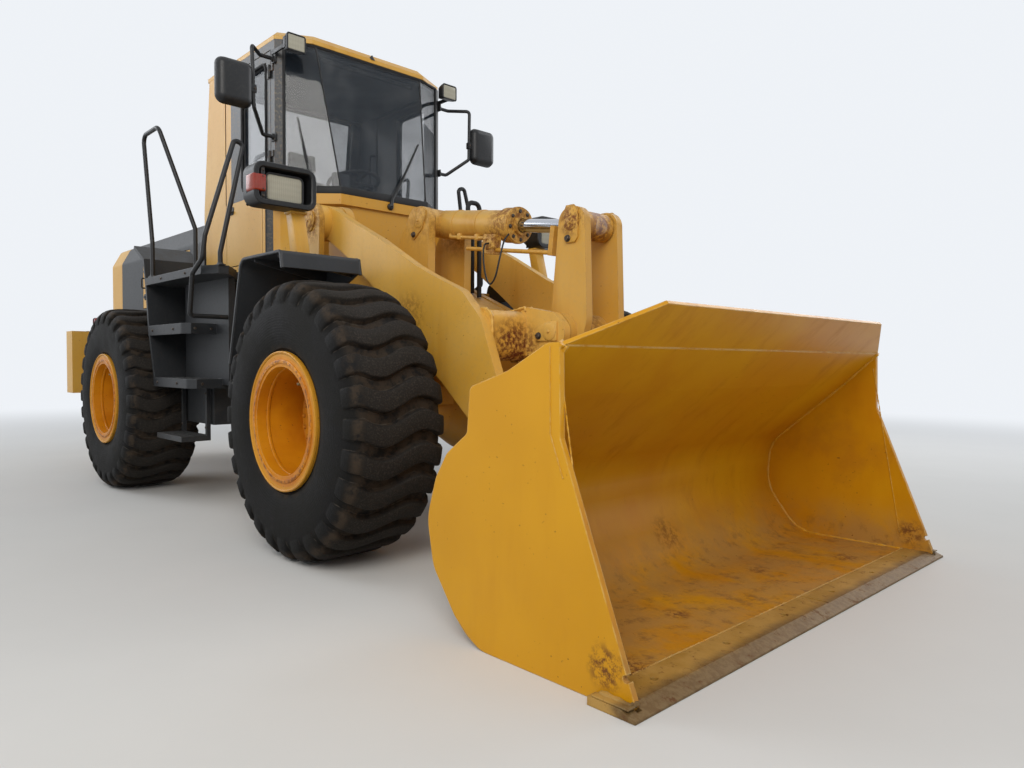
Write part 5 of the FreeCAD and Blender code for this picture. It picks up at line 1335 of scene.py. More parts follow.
def endLoop(x, y0, y1, z0, z1, radius, inset=0.0):
    # a round-cornered outline across the machine
    y0, y1, z0, z1 = y0 + inset, y1 - inset, z0 + inset, z1 - inset
    corner = max(radius - inset, 0.004)
    return [(x, p.x, p.y) for p in rounded([(y0, z0, corner), (y1, z0, corner),
            (y1, z1, corner), (y0, z1, corner)])]


def onEachSide(build, name, finish, body, slot, instead=False):
    # the left piece and its mirrored twin; with instead, each hides the node of its own side
    left = build()
    for side, shape in (("left", left), ("right", left.mirrored())):
        node = slot + "_" + side
        rider = body if body == "front_frame" or body == "rear_frame" else body + "_" + side
        shape.piece(name + "_" + side, finish, rider, node, (node,) if instead else ())


headlightLook = {
    "guard": (0.97, 1.37, 2.025, 2.275),
    "back": -0.495,
    "front": -0.34,
    "corner": 0.062,
    "rim": 0.034,
    "lens": (1.045, 1.278, 2.056, 2.217),
    "marker": (1.295, 1.378, 2.098, 2.198),
}


def headlightGuard():
    look = headlightLook
    shape = Shape()
    back, front, corner, rim = look["back"], look["front"], look["corner"], look["rim"]
    steps = [(back, 0.008), (back + 0.006, 0.001), (front - 0.006, 0), (front, 0.005), (front, rim - 0.007),
            (front - 0.006, rim), (-0.452, rim)]
    shape.shell(look["guard"], corner, steps)
    bowl = (1.015, 1.28, 2.06, 2.24)
    shape.shell(bowl, 0.06, ((-0.61, 0.052), (-0.602, 0.034), (-0.575, 0.014), (-0.53, 0.003), (-0.49, 0)))
    lens = look["lens"]
    bezel = [(-0.4515, -0.012), (-0.386, -0.012), (-0.378, -0.008), (-0.378, 0.003), (-0.392, 0.003)]
    shape.shell(lens, 0.028, bezel)
    shape.box((-0.4515, 1.298, 2.057), (-0.35, 1.322, 2.243), 0.004)
    shape.box((-0.4515, 1.293, 2.094), (-0.428, 1.372, 2.202), 0.005)
    shape.box((-0.474, 0.981, 1.7455), (-0.311, 1.129, 1.759), 0.003)
    for y in (1.0, 1.34):
        for z in (2.04, 2.26):
            shape.hexBolt((-0.4975 + 0.003, y, z), (-1, 0, 0), 0.008)
    for k in range(5):
        shape.box((-0.6, 1.06 + 0.04 * k, 2.232), (-0.5, 1.064 + 0.04 * k, 2.246), 0.001)
    return shape


def headlightStalk():
    shape = Shape()
    shape.slab([(-0.435, 1.7575, 0), (-0.345, 1.7575, 0), (-0.415, 2.0265, 0),
            (-0.494, 2.0265, 0)], 1.011, 1.099,
            "side", 0.006)
    shape.box((-0.492, 1.0, 2.012), (-0.4, 1.11, 2.0265), 0.003)
    return shape


def headlightLens():
    shape = Shape()
    shape.shell(headlightLook["lens"], 0.026, ((-0.3915, 0.004), (-0.381, 0.004), (-0.3755, 0.01),
            (-0.3715, 0.04), (-0.3705, 0.07)))
    return shape


def headlightReflector():
    shape = Shape()
    shape.shell(headlightLook["lens"], 0.026, ((-0.45, 0.07), (-0.448, 0.06), (-0.436, 0.03), (-0.41, 0.008),
            (-0.3925, 0.004), (-0.3925, 0.0055), (-0.41, 0.0095), (-0.434, 0.0315), (-0.444, 0.0615)))
    shape.turned([(0, 0), (0, 0.011), (0.03, 0.011), (0.038, 0.006), (0.04, 0)],
            (-0.444, 1.1615, 2.1365), (1, 0, 0), 16)
    return shape


def headlightMarker():
    shape = Shape()
    shape.shell(headlightLook["marker"], 0.012, ((-0.429, 0), (-0.345, 0), (-0.336, 0.005), (-0.333, 0.013)))
    return shape


def headlightScrews():
    shape = Shape()
    for x in (-0.462, -0.324):
        for y in (0.993, 1.117):
            shape.hexBolt((x, y, 1.7588), (0, 0, 1), 0.009)
    for z in (2.112, 2.184):
        shape.turned([(0, 0), (0, 0.005), (0.002, 0.005), (0.003, 0)], (-0.3332, 1.318, z), (1, 0, 0), 10)
    for z in (2.075, 2.225):
        shape.hexBolt((-0.3505, 1.31, z), (1, 0, 0), 0.008)
    return shape


for buildPart, pieceName, finishName in (
        (headlightGuard, "headlight_guard", "black"), (headlightStalk, "headlight_stalk", "body"),
        (headlightLens, "headlight_lens", "lens"), (headlightReflector, "headlight_reflector", "reflector"),
        (headlightMarker, "headlight_marker", "marker"), (headlightScrews, "headlight_screws", "bolt")):
    onEachSide(buildPart, pieceName, finishName, "front_frame", "headlight", True)


mirrorLook = {
    "head": (0.99, 1.244, 2.842, 3.152),
    "front": -1.14,
    "back": -1.215,
    "corner": 0.055,
    "arm": [(-1.345, 0.752, 3.3), (-1.345, 0.86, 3.3), (-1.2, 0.985, 3.29), (-1.195, 0.975, 2.87),
        (-1.345, 0.84, 2.74), (-1.345, 0.752, 2.74)],
    "armRadius": 0.014,
}


def buildMirrors(look):
    shells = Shape()
    back, front = look["back"], look["front"]
    steps = [(back + 0.008, 0.016), (back + 0.001, 0.013), (back, 0.007),
            (back + 0.006, 0.001), (back + 0.022, 0),
            (front - 0.02, 0.012), (front - 0.006, 0.03), (front, 0.052)]
    shells.shell(look["head"], look["corner"], steps)
    shells.box((-1.2145, 0.958, 2.962), (-1.176, 1.004, 3.018), 0.006)
    shells.tube(bentPath(look["arm"], 0.03), look["armRadius"], 14)
    for z in (3.3, 2.74):
        shells.box((-1.378, 0.7503, z - 0.03), (-1.312, 0.76, z + 0.03), 0.003)
        shells.turned([(0, 0.014), (0, 0.023), (0.016, 0.021), (0.016, 0.014)],
                (-1.345, 0.7595, z), (0, 1, 0), 20,
                closed=True)
    for z in (2.975, 3.005):
        shells.band((-0.004, 0.004), (0.0142, 0.021), (-1.197, 0.979, z), (0.012, 0.024, 1), 18)
    shells.both().piece("mirror_housings", "black", "rear_frame", "mirrors", ("mirrors",))
    faces = Shape()
    faces.lofted([endLoop(x, *look["head"], look["corner"], 0.0165) for x in (back + 0.0075, back + 0.0045)])
    faces.both().piece("mirror_faces", "mirror", "rear_frame", "mirrors", ("mirrors",))
    bolts = Shape()
    for z in (3.3, 2.74):
        for x, dz in ((-1.368, 0.02), (-1.322, -0.02)):
            bolts.hexBolt((x, 0.7598, z + dz), (0, 1, 0), 0.0065)
    bolts.hexBolt((-1.1765, 0.972, 2.99), (1, 0, 0), 0.009)
    bolts.both().piece("mirror_bolts", "bolt", "rear_frame", "mirrors", ("mirrors",))


def buildWorkLamps():
    face = (0.62, 0.77, 3.3, 3.425)
    housing = Shape()
    steps = [(-1.188, 0.03), (-1.184, 0.016), (-1.15, 0.006), (-1.114, 0), (-1.11, 0.003), (-1.11, 0.009),
            (-1.116, 0.012), (-1.15, 0.034)]
    housing.shell(face, 0.02, steps)
    for k in range(6):
        y = 0.645 + 0.02 * k
        housing.box((-1.2, y - 0.002, 3.318), (-1.158, y + 0.002, 3.407), 0.001)
    housing.box((-1.369, 0.7503, 3.33), (-1.152, 0.7655, 3.36), 0.003)
    housing.box((-1.175, 0.76, 3.322), (-1.135, 0.77, 3.402), 0.003)
    housing.both().piece("work_lamp_housings", "black", "rear_frame", "work_lights", ("work_lights",))
    lens = Shape()
    lens.shell(face, 0.018, ((-1.1175, 0.0125), (-1.1135, 0.0125), (-1.112, 0.018)))
    lens.both().piece("work_lamp_lenses", "lens", "rear_frame", "work_lights", ("work_lights",))
    mirror = Shape()
    mirror.shell(face, 0.018, ((-1.1485, 0.04), (-1.1465, 0.034), (-1.119, 0.0135),
            (-1.119, 0.015), (-1.144, 0.038)))
    mirror.both().piece("work_lamp_reflectors", "reflector", "rear_frame", "work_lights", ("work_lights",))


def buildWipers():
    arms = Shape()
    arms.turned([(0, 0), (0, 0.026), (0.014, 0.024), (0.02, 0.014), (0.02, 0)],
            (-1.0212, 0.033, 2.3), (1, 0, 0), 24)
    arms.tube([(-1.004, 0.033, 2.3), (-1.01, 0.045, 2.36), (-1.036, 0.14, 2.5), (-1.062, 0.232, 2.64)],
            [0.016, 0.014, 0.011, 0.008], 10, squash=0.7)
    arms.tube([(-1.014, 0.095, 2.42), (-1.062, 0.232, 2.64), (-1.11, 0.369, 2.86)], [0.006, 0.01, 0.006], 8)
    arms.turned([(0, 0), (0, 0.02), (0.012, 0.018), (0.016, 0.01), (0.016, 0)],
            (-1.168, -0.543, 2.33), (0.75, -0.66, 0), 20)
    arms.tube([(-1.157, -0.556, 2.33), (-1.195, -0.56, 2.48), (-1.232, -0.584, 2.72)],
            [0.009, 0.007, 0.005], 10)
    arms.tube([(-1.19, -0.568, 2.56), (-1.232, -0.584, 2.72), (-1.266, -0.604, 2.9)],
            [0.004, 0.006, 0.004], 8)
    arms.piece("wiper_arms", "black", "rear_frame", "cab_glass")
    blades = Shape()
    for foot, tip in (((-1.034, 0.098, 2.422), (-1.119, 0.372, 2.862)), ((-1.205, -0.573, 2.56),
            (-1.275, -0.608, 2.9))):
        blades.tube([foot, tip], 0.0075, 6, squash=0.6)
    blades.piece("wiper_blades", "rubber", "rear_frame", "cab_glass")


buildMirrors(mirrorLook)
buildWorkLamps()
buildWipers()
print("lamps, mirrors and wipers ready")


# Fenders, platforms and handrail feet

def fenderLip():
    shape = Shape()
    for y in (1.2895, 0.7785):
        path = [(-0.157, y, 1.64, 0), (-0.177, y, 1.738, 0.03), (-0.697, y, 1.738,
                0.08), (-0.873, y, 1.097, 0)]
        shape.tube(rounded(path, 6), 0.0105, 10)
    return shape


def fenderBraces():
    shape = Shape()
    for x, drop in ((-0.25, 0.1), (-0.56, 0.12)):
        shape.slab([(0.783, 1.732, 0), (1.27, 1.732, 0), (1.27, 1.712, 0),
                (0.783, 1.732 - drop, 0)], x - 0.006,
                x + 0.006, "end", 0.002)
    shape.slab([(-0.86, 1.14, 0), (-0.873, 1.136, 0), (-0.8895, 1.1, 0), (-0.886, 1.06,
            0), (-0.872, 1.062, 0)],
            0.8, 1.28, "side", 0.002)
    for y in (0.86, 1.04, 1.22):
        shape.hexBolt((-0.884, y, 1.082), (-1, 0, -0.25), 0.01)
        shape.hexBolt((-0.435 + 0.18 * (y - 1.04), 0.77, 1.65), (0, -1, 0), 0.011)
    return shape


def mudFlap():
    shape = Shape()
    shape.slab([(-0.876, 1.1, 0), (-0.8865, 1.1, 0), (-0.92, 0.9, 0), (-0.91, 0.9, 0)], 0.8, 1.28, "side",
            0.002)
    return shape


onEachSide(fenderLip, "fender_lip", "grey", "front_frame", "front_fender")
onEachSide(fenderBraces, "fender_braces", "grey", "front_frame", "front_fender")
onEachSide(mudFlap, "mud_flap", "rubber", "front_frame", "front_fender")


treadPlan = [  # first stud x, y; height; counts along and across; step
    (-2.62, 0.8, 1.7795, 21, 9, 0.045),
    (-2.575, 1.022, 1.3895, 17, 5, 0.043),
    (-2.465, 0.972, 0.9745, 17, 6, 0.043),
    (-2.395, 1.03, 0.5395, 11, 5, 0.044),
]
stepBolts = [(-1.7995, 1.04, 1.35), (-1.7995, 1.16, 1.35), (-1.6995, 0.985, 0.94), (-1.6995, 1.15, 0.94)]
railFeet = [(-2.56, 1.205), (-2.2, 1.0), (-1.395, 1.135)]


def platformTreads():
    shape = Shape()
    for x, y, z, along, across, step in treadPlan:
        stud = Shape()
        stud.turned([(0, 0), (0, 0.012), (0.003, 0.01), (0.004, 0)], (0, 0, 0), (0, 0, 1), 8)
        mesh = rows.grown(stud, {"Across": along, "Down": across, "Step across": (step, 0, 0),
                "Step down": (0, step, 0), "Centre": (x + ahead, y, z)}, "grey")
        shape.takeFrom(mesh)
    for x, y in railFeet:
        shape.box((x - 0.04, y - 0.024, 1.7795), (x + 0.04, y + 0.024, 1.787), 0.002)
        shape.turned([(0, 0.0172), (0, 0.024), (0.012, 0.02), (0.012, 0.0172)], (x, y, 1.7865), (0, 0, 1), 20,
                closed=True)
    shape.bead([(-2.6, 0.998, 1.391), (-1.815, 0.998, 1.391)], 0.004)
    shape.bead([(-1.858, 0.79, 1.716), (-1.858, 0.99, 1.716)], 0.005)
    shape.bead([(-1.8585, 0.775, 0.64), (-1.8585, 0.775, 1.71)], 0.004)
    return shape


def platformBolts():
    shape = Shape()
    for place in stepBolts:
        shape.hexBolt(place, (1, 0, 0), 0.01)
    for x, z in ((-2.5, 1.35), (-2.05, 1.35), (-2.4, 0.94), (-1.98, 0.94), (-2.3, 1.75),
            (-1.8, 1.75)):
        shape.hexBolt((x, 1.2297, z), (0, 1, 0), 0.01)
    for x in (-2.405, -1.915):
        for z in (0.6, 0.86):
            shape.hexBolt((x, 1.0397, z), (0, 1, 0), 0.009)
    for x, y in railFeet:
        for dx in (-0.029, 0.029):
            shape.hexBolt((x + dx, y, 1.7868), (0, 0, 1), 0.008)
    return shape


onEachSide(platformTreads, "platform_treads", "grey", "rear_frame", "platform")
onEachSide(platformBolts, "platform_bolts", "bolt", "rear_frame", "platform")
print("fenders and platforms ready")


# Cab trim and inside

cabLook = {
    "window": (-1.895, -1.475, 2.43, 3.31),
    "side": 0.751,
    "lock": (-2.09, 2.383),
    "button": (-2.15, 2.306),
}
screenFoot = [(-1.31, 0.694), (-1.036, 0.386), (-1.036, -0.386), (-1.31, -0.694)]
screenTop = [(-1.31, 0.694), (-1.24, 0.476), (-1.24, -0.476), (-1.31, -0.694)]


def buildCabSeals():
    seals = Shape()
    foot = [(x, y, 2.376) for x, y in screenFoot]
    top = [(x, y, 3.439) for x, y in screenTop]
    seals.tube(foot, 0.013, 8)
    seals.tube(top, 0.013, 8)
    for low, high, radius in zip(foot, top, (0.012, 0.006, 0.006, 0.012)):
        seals.tube([low, high], radius, 8)
    seals.tube([(-2.641, -0.59, 2.378), (-2.641, 0.59, 2.378)], 0.011, 8)
    seals.tube([(-2.516, -0.59, 3.376), (-2.516, 0.59, 3.376)], 0.011, 8)
    for y in (0.59, -0.59):
        seals.tube([(-2.641, y, 2.378), (-2.516, y, 3.376)], 0.011, 8)
    band = offsetPath([(-1.322, -0.754, 0), (-1.017, -0.393, 0), (-1.017, 0.393, 0),
            (-1.322, 0.754, 0)], 0.055)
    outline = [(-1.322, -0.754, 0), (-1.017, -0.393, 0), (-1.017, 0.393, 0), (-1.322, 0.754, 0)] + band[::-1]
    seals.slab(outline, 2.336, 2.392, "plan", 0.006)
    header = [(-1.33, -0.716, 0), (-1.236, -0.48, 0), (-1.236, 0.48, 0), (-1.33, 0.716, 0)]
    seals.slab(header + offsetPath(header, 0.03)[::-1], 3.418, 3.4447, "plan", 0.004)
    seals.piece("windscreen_seals", "rubber", "rear_frame", "cab_glass")


def doorSeal():
    x0, x1, z0, z1 = cabLook["window"]
    outline = rounded([(x0, z0, 0.05), (x1, z0, 0.05), (x1, z1, 0.05), (x0, z1, 0.05)], 4)
    shape = Shape()
    for y, inset, radius in ((cabLook["side"], 0.002, 0.011), (0.7305, 0.01, 0.009)):
        grown = [(p.x + math.copysign(inset, (x0 + x1) / 2 - p.x), y, p.y + math.copysign(inset,
                (z0 + z1) / 2 - p.y))
                for p in outline]
        shape.loop(grown, radius)
    return shape


def doorTrim():
    # the dark inner lining with its pull, and the outer handle
    shape = Shape()
    shape.plate((-2.165, 2.28), (-1.43, 2.4), 0.02, 0.684, 0.7005, "side", 0.004)
    shape.tube(bentPath([(-2.08, 0.69, 2.345), (-2.08, 0.64, 2.345), (-1.86, 0.64,
            2.345), (-1.86, 0.69, 2.345)],
            0.02), 0.009, 10)
    shape.plate((-2.176, 2.276), (-2.052, 2.34), 0.02, 0.7495, 0.7545, "side", 0.002)
    shape.tube(bentPath([(-2.125, 0.752, 2.296), (-2.125, 0.7755, 2.296), (-2.062, 0.7755, 2.296),
            (-2.062, 0.752, 2.296)], 0.012), 0.006, 10)
    return shape


def doorLock():
    x, z = cabLook["lock"]
    shape = Shape()
    shape.turned([(0, 0), (0, 0.017), (0.005, 0.016), (0.006, 0.009), (0.004, 0.008),
            (0.004, 0)], (x, 0.7497, z),
            (0, 1, 0), 24)
    x, z = cabLook["button"]
    shape.turned([(0, 0), (0, 0.014), (0.008, 0.013), (0.011, 0.009), (0.011, 0)],
            (x, 0.754, z), (0, 1, 0), 24)
    return shape


def buildCabInside():
    lining = Shape()
    lining.slab([(-2.45, 0.69, 0.04), (-1.335, 0.69, 0.02), (-1.275, 0.46, 0.04), (-1.275, -0.46, 0.04),
            (-1.335, -0.69, 0.02), (-2.45, -0.69, 0.04)], 3.405, 3.4447, "plan", 0.006)
    lining.plate((-2.5975, 1.87), (-2.5895, 2.362), 0, -0.69, 0.69, "side", 0.002)
    for side in (1, -1):
        lining.box((-2.54, side * 0.6955 - 0.0035, 2.375), (-2.212, side * 0.6955 + 0.0035, 3.4), 0.002)
    lining.box((-2.3, -0.62, 1.8605), (-1.76, -0.33, 2.3), 0.025)
    lining.box((-2.3, 0.33, 1.8605), (-2.0, 0.6, 2.2), 0.025)
    lining.slab([(-1.42, 0.36, 0.05), (-1.262, 0.445, 0.06), (-1.112, 0.235, 0.05), (-1.112, -0.235, 0.05),
            (-1.262, -0.445, 0.06), (-1.42, -0.36, 0.05)], 2.18, 2.42, "plan", 0.022)
    lining.box((-1.27, -0.33, 2.418), (-1.235, -0.19, 2.545), 0.008)
    lining.piece("cab_lining", "trim", "rear_frame", "cab")
    parts = Shape()
    parts.slab([(-2.59, 0.69, 0), (-1.53, 0.69, 0), (-1.475, 0.6, 0), (-1.245, 0.465, 0), (-1.105, 0.24, 0),
            (-1.105, -0.24, 0), (-1.245, -0.465, 0), (-1.475, -0.6, 0), (-1.53, -0.69, 0),
            (-2.59, -0.69, 0)], 1.8598, 1.868, "plan")
    for x in (-1.9, -1.98, -2.06):
        parts.tube([(x, -0.45, 2.296), (x + 0.006, -0.45, 2.42)], 0.007, 8)
        parts.turned([(-0.03, 0), (-0.024, 0.014), (0, 0.02), (0.02, 0.016), (0.028, 0)],
                (x + 0.007, -0.45, 2.44), (0, 0, 1), 16)
    parts.tube([(-1.505, 0.03, 2.4), (-1.5, 0.26, 2.47)], 0.006, 8)
    parts.turned([(0, 0), (0.004, 0.012), (0.02, 0.014), (0.034, 0)], (-1.5, 0.25, 2.466), (0, 1, 0.3), 12)
    for y in (-0.15, 0.17):
        parts.slab([(-1.33, 1.905, 0), (-1.322, 1.9, 0), (-1.24, 2.02, 0),
                (-1.248, 2.026, 0)], y - 0.045, y + 0.045,
                "side", 0.002)
        parts.tube([(-1.285, y, 1.962), (-1.24, y, 1.866)], 0.01, 8)
    parts.tube([(-1.29, -0.42, 3.375), (-1.29, 0.42, 3.375)], 0.02, 14)
    for side in (1, -1):
        parts.tube(bentPath([(-2.24, side * 0.69, 2.7), (-2.24, side * 0.64, 2.7), (-2.24, side * 0.64, 3.05),
                (-2.24, side * 0.69, 3.05)], 0.03), 0.011, 10)
    parts.turned([(0, 0), (0, 0.04), (0.012, 0.036), (0.018, 0.02), (0.018, 0)],
            (-1.495, 0, 2.584), (-0.25, 0, 1), 28)
    parts.turned([(0, 0), (0, 0.03), (0.01, 0.022), (0.022, 0.01), (0.03, 0.006), (0.034, 0)],
            (-1.244, 0.012, 3.478), (0.35, 0, 1), 16)
    parts.piece("cab_fittings", "plastic", "rear_frame", "cab")


buildCabSeals()
onEachSide(doorSeal, "door_window_seal", "rubber", "door", "door_glass")
onEachSide(doorTrim, "door_trim", "plastic", "door", "door")
onEachSide(doorLock, "door_lock", "brass", "door", "door")
buildCabInside()
print("cab ready")


# Hood, engine, tail and running gear

def hatchLatches():
    shape = Shape()
    for x, z in ((-4.335, 1.76), (-4.335, 2.02)):
        shape.turned([(0, 0), (0, 0.032), (0.004, 0.032), (0.007, 0.028), (0.007, 0)],
                (x, 0.6997, z), (0, 1, 0), 28)
        shape.box((x - 0.022, 0.7055, z - 0.007), (x + 0.022, 0.7145, z + 0.007), 0.003)
    shape.tube(bentPath([(-4.335, 0.698, 1.85), (-4.335, 0.735, 1.85), (-4.335, 0.735,
            1.95), (-4.335, 0.698, 1.95)],
            0.015), 0.007, 10)
    return shape


def buildHoodTop():
    vents = Shape()
    for x in (-4.78, -3.06):
        bar = Shape()
        bar.box((-0.009, -0.3, 0), (0.009, 0.3, 0.008), 0.003)
        mesh = rows.grown(bar, {"Across": 9 if x < -4 else 5, "Down": 1, "Step across": (0.04, 0, 0),
                "Centre": (x - 0.1 + ahead, 0, 2.3498)}, "black")
        vents.takeFrom(mesh)
    for x in (-4.96, -4.1, -3.0):
        for y in (-0.43, 0.43):
            vents.turned([(0, 0), (0, 0.018), (0.006, 0.016), (0.01, 0)], (x, y, 2.3495), (0, 0, 1), 16)
    vents.piece("hood_vents", "black", "rear_frame", "hood")
    stack = Shape()
    stack.turned([(2.3506, 0.076), (2.3506, 0.118), (2.362, 0.118), (2.366, 0.112),
            (2.366, 0.076)], (-3.9, 0, 0),
            (0, 0, 1), 40, closed=True)
    for z in (2.42, 2.66):
        stack.band((z, z + 0.022), (0.0745, 0.08), (-3.9, 0, 0), (0, 0, 1), 40)
    for z in (2.72, 2.99):
        stack.band((z, z + 0.026), (0.0495, 0.0545), (-3.9, 0, 0), (0, 0, 1), 36)
    stack.turned([(0, 0), (0, 0.058), (0.006, 0.06), (0.01, 0.052), (0.014, 0)],
            (-3.893, 0, 3.056), (-0.3, 0, 1), 32)
    stack.box((-3.862, -0.012, 3.02), (-3.84, 0.012, 3.062), 0.003)
    stack.turned([(-0.022, 0), (-0.022, 0.009), (0.022, 0.009), (0.022, 0)],
            (-3.842, 0, 3.058), (0, 1, 0), 12)
    stack.piece("exhaust_fittings", "black", "rear_frame", "exhaust")
    cleaner = Shape()
    for z in (2.585, 2.615, 2.645):
        cleaner.band((z, z + 0.012), (0.1285, 0.136), (-3.5, 0, 0), (0, 0, 1), 44)
    cleaner.turned([(2.752, 0.128), (2.752, 0.14), (2.764, 0.14), (2.785, 0.118), (2.8, 0.06), (2.803, 0)],
            (-3.5, 0, 0), (0, 0, 1), 44)
    cleaner.turned([(2.3506, 0.061), (2.3506, 0.092), (2.364, 0.088), (2.364, 0.061)],
            (-3.5, 0, 0), (0, 0, 1), 36,
            closed=True)
    cleaner.turned([(0, 0), (0, 0.014), (0.02, 0.014), (0.026, 0.008), (0.028, 0)],
            (-3.5, 0, 2.8), (0, 0, 1), 6)
    cleaner.piece("air_cleaner_cap", "plastic", "rear_frame", "air_cleaner")


def buildTail():
    grille = Shape()
    grille.box((-5.4215, -0.628, 1.512), (-5.414, 0.628, 1.548), 0.003)
    grille.box((-5.4215, -0.628, 2.152), (-5.414, 0.628, 2.188), 0.003)
    for y in (-0.628, -0.018, 0.592):
        grille.box((-5.4215, y, 1.512), (-5.414, y + 0.036, 2.188), 0.003)
    grille.tube(bentPath([(-5.418, -0.6, 1.78), (-5.45, -0.6, 1.78), (-5.45, -0.6, 1.9),
            (-5.418, -0.6, 1.9)], 0.015), 0.008, 10)
    grille.turned([(0, 0), (0, 0.022), (0.006, 0.02), (0.008, 0)], (-5.4214, -0.6, 1.7), (-1, 0, 0), 24)
    grille.piece("grille_frame", "black", "grille_door", "grille_door")
    core = Shape()
    fin = Shape()
    fin.box((-0.003, -0.002, 0), (0, 0.002, 0.6))
    mesh = rows.grown(fin, {"Across": 74, "Down": 1, "Step across": (0, 0.0148, 0),
            "Centre": (-5.199 + ahead, -0.54, 1.54)}, "core")
    core.takeFrom(mesh)
    core.box((-5.215, -0.56, 1.5), (-5.19, 0.56, 1.54), 0.006)
    core.box((-5.215, -0.56, 2.14), (-5.19, 0.56, 2.18), 0.006)
    core.piece("radiator_fins", "core", "rear_frame", "radiator")
    weight = Shape()
    for x in (-5.5, -5.36):
        weight.hexBolt((x, 0.3, 1.4195), (0, 0, 1), 0.0245)
        weight.hexBolt((x, 0.94, 1.4195), (0, 0, 1), 0.018)
    weight.both()
    weight.turned([(0.846, 0), (0.846, 0.025), (1.0195, 0.025), (1.0195, 0.04), (1.034, 0.04), (1.036, 0)],
            (-5.49, 0, 0), (0, 0, 1), 32)
    weight.tube(bentPath([(-5.49, -0.03, 1.03), (-5.49, -0.03, 1.09), (-5.49, 0.03, 1.09),
            (-5.49, 0.03, 1.03)], 0.02), 0.008, 10)
    for y in (-0.56, 0.56):
        weight.tube(bentPath([(-5.3, y, 1.415), (-5.3, y, 1.47), (-5.21, y, 1.47), (-5.21, y, 1.415)], 0.03),
                0.013, 12)
    weight.piece("tail_fittings", "bolt", "rear_frame", "counterweight")
    lamps = Shape()
    guard = (0.65, 0.88, 1.4503, 1.5803)
    lamps.shell(guard, 0.018, ((-5.5075, -0.006), (-5.514, -0.006), (-5.514, 0.01),
            (-5.5075, 0.01)), closed=True)
    lamps.box((-5.5135, 0.762, 1.456), (-5.508, 0.768, 1.575), 0.001)
    lamps.both().piece("tail_lamp_frames", "black", "rear_frame", "tail_lamps")


def buildEngine():
    parts = Shape()
    cover = Shape()
    cover.box((-0.075, -0.13, 0), (0.075, 0.13, 0.085), 0.018)
    mesh = rows.grown(cover, {"Across": 6, "Down": 1, "Step across": (0.175, 0, 0),
            "Centre": (-4.34 + ahead, 0.05, 1.899)}, "iron")
    parts.takeFrom(mesh)
    parts.tube(bentPath([(-4.3, -0.305, 1.78), (-3.56, -0.305, 1.78), (-3.5, -0.24, 1.93),
            (-3.5, 0.0, 1.96), (-3.5, 0.0, 2.25)], 0.09), 0.045, 16)
    parts.tube(bentPath([(-4.25, 0.315, 1.7), (-3.96, 0.315, 1.7), (-3.9, 0.2, 1.94), (-3.9, 0.0, 1.98),
            (-3.9, 0.0, 2.28)], 0.08), 0.05, 16)
    for x in (-3.7, -3.56):
        parts.turned([(0, 0), (0, 0.046), (0.13, 0.048), (0.15, 0.036), (0.15, 0)],
                (x, -0.33, 1.42), (0, 0, -1), 24)
        parts.box((x - 0.05, -0.385, 1.415), (x + 0.05, -0.295, 1.46), 0.006)
    parts.turned([(0, 0), (0, 0.085), (0.05, 0.095), (0.11, 0.095), (0.16, 0.06),
            (0.18, 0)], (-4.05, 0.345, 1.56),
            (1, 0, 0), 32)
    parts.turned([(0, 0), (0, 0.075), (0.12, 0.08), (0.14, 0.06), (0.14, 0)],
            (-4.502, -0.18, 1.7), (1, 0, 0), 28)
    for y, z, radius in ((0, 1.3, 0.12), (-0.18, 1.7, 0.055), (0, 1.62, 0.07)):
        parts.turned([(-0.002, 0), (-0.002, radius), (0.01, radius), (0.02, radius * 0.86), (0.03, radius),
                (0.04, radius), (0.04, 0)], (-4.5, y, z), (-1, 0, 0), 32)
    parts.piece("engine_parts", "iron", "rear_frame", "engine")
    fan = Shape()
    blade = Shape()
    blade.slab([(-0.05, 0.05, 0.01), (0.05, 0.05, 0.01), (0.085, 0.3, 0.03),
            (-0.065, 0.3, 0.03)], -0.003, 0.003,
            "side", turn=Matrix.Rotation(0.45, 4, "Z"))
    mesh = rings.grown(blade, {"Count": 8, "Radius": 0.02, "Start": 0.0, "Centre": (0, 0, 0)}, "black")
    fan.takeFrom(alongAxis(mesh, (-4.58, 0, 1.64), (-1, 0, 0)))
    fan.turned([(-0.06, 0), (-0.06, 0.075), (0.04, 0.08), (0.05, 0.06), (0.05, 0)],
            (-4.58, 0, 1.64), (-1, 0, 0), 28)
    fan.piece("cooling_fan", "black", "rear_frame", "engine")
    gears = Shape()
    gears.box((-2.76, -0.24, 1.4385), (-2.43, 0.24, 1.462), 0.006)
    for x in (-2.7, -2.595, -2.49):
        for side in (1, -1):
            gears.box((x - 0.012, side * 0.312 - 0.01, 0.76), (x + 0.012, side * 0.312 + 0.01, 1.4), 0.003)
    gears.turned([(0, 0), (0, 0.062), (0.16, 0.066), (0.19, 0.045), (0.19, 0)],
            (-2.3505, 0.16, 1.18), (1, 0, 0), 28)
    gears.turned([(0, 0), (0, 0.125), (0.035, 0.118), (0.05, 0.075), (0.07, 0.072),
            (0.07, 0)], (-2.3505, 0, 0.83),
            (1, 0, 0), 36)
    for angle in range(8):
        a = math.tau * angle / 8
        gears.hexBolt((-2.316, 0.1 * math.cos(a), 0.83 + 0.1 * math.sin(a)), (1, 0, 0), 0.01)
    gears.piece("transmission_parts", "iron", "rear_frame", "transmission")


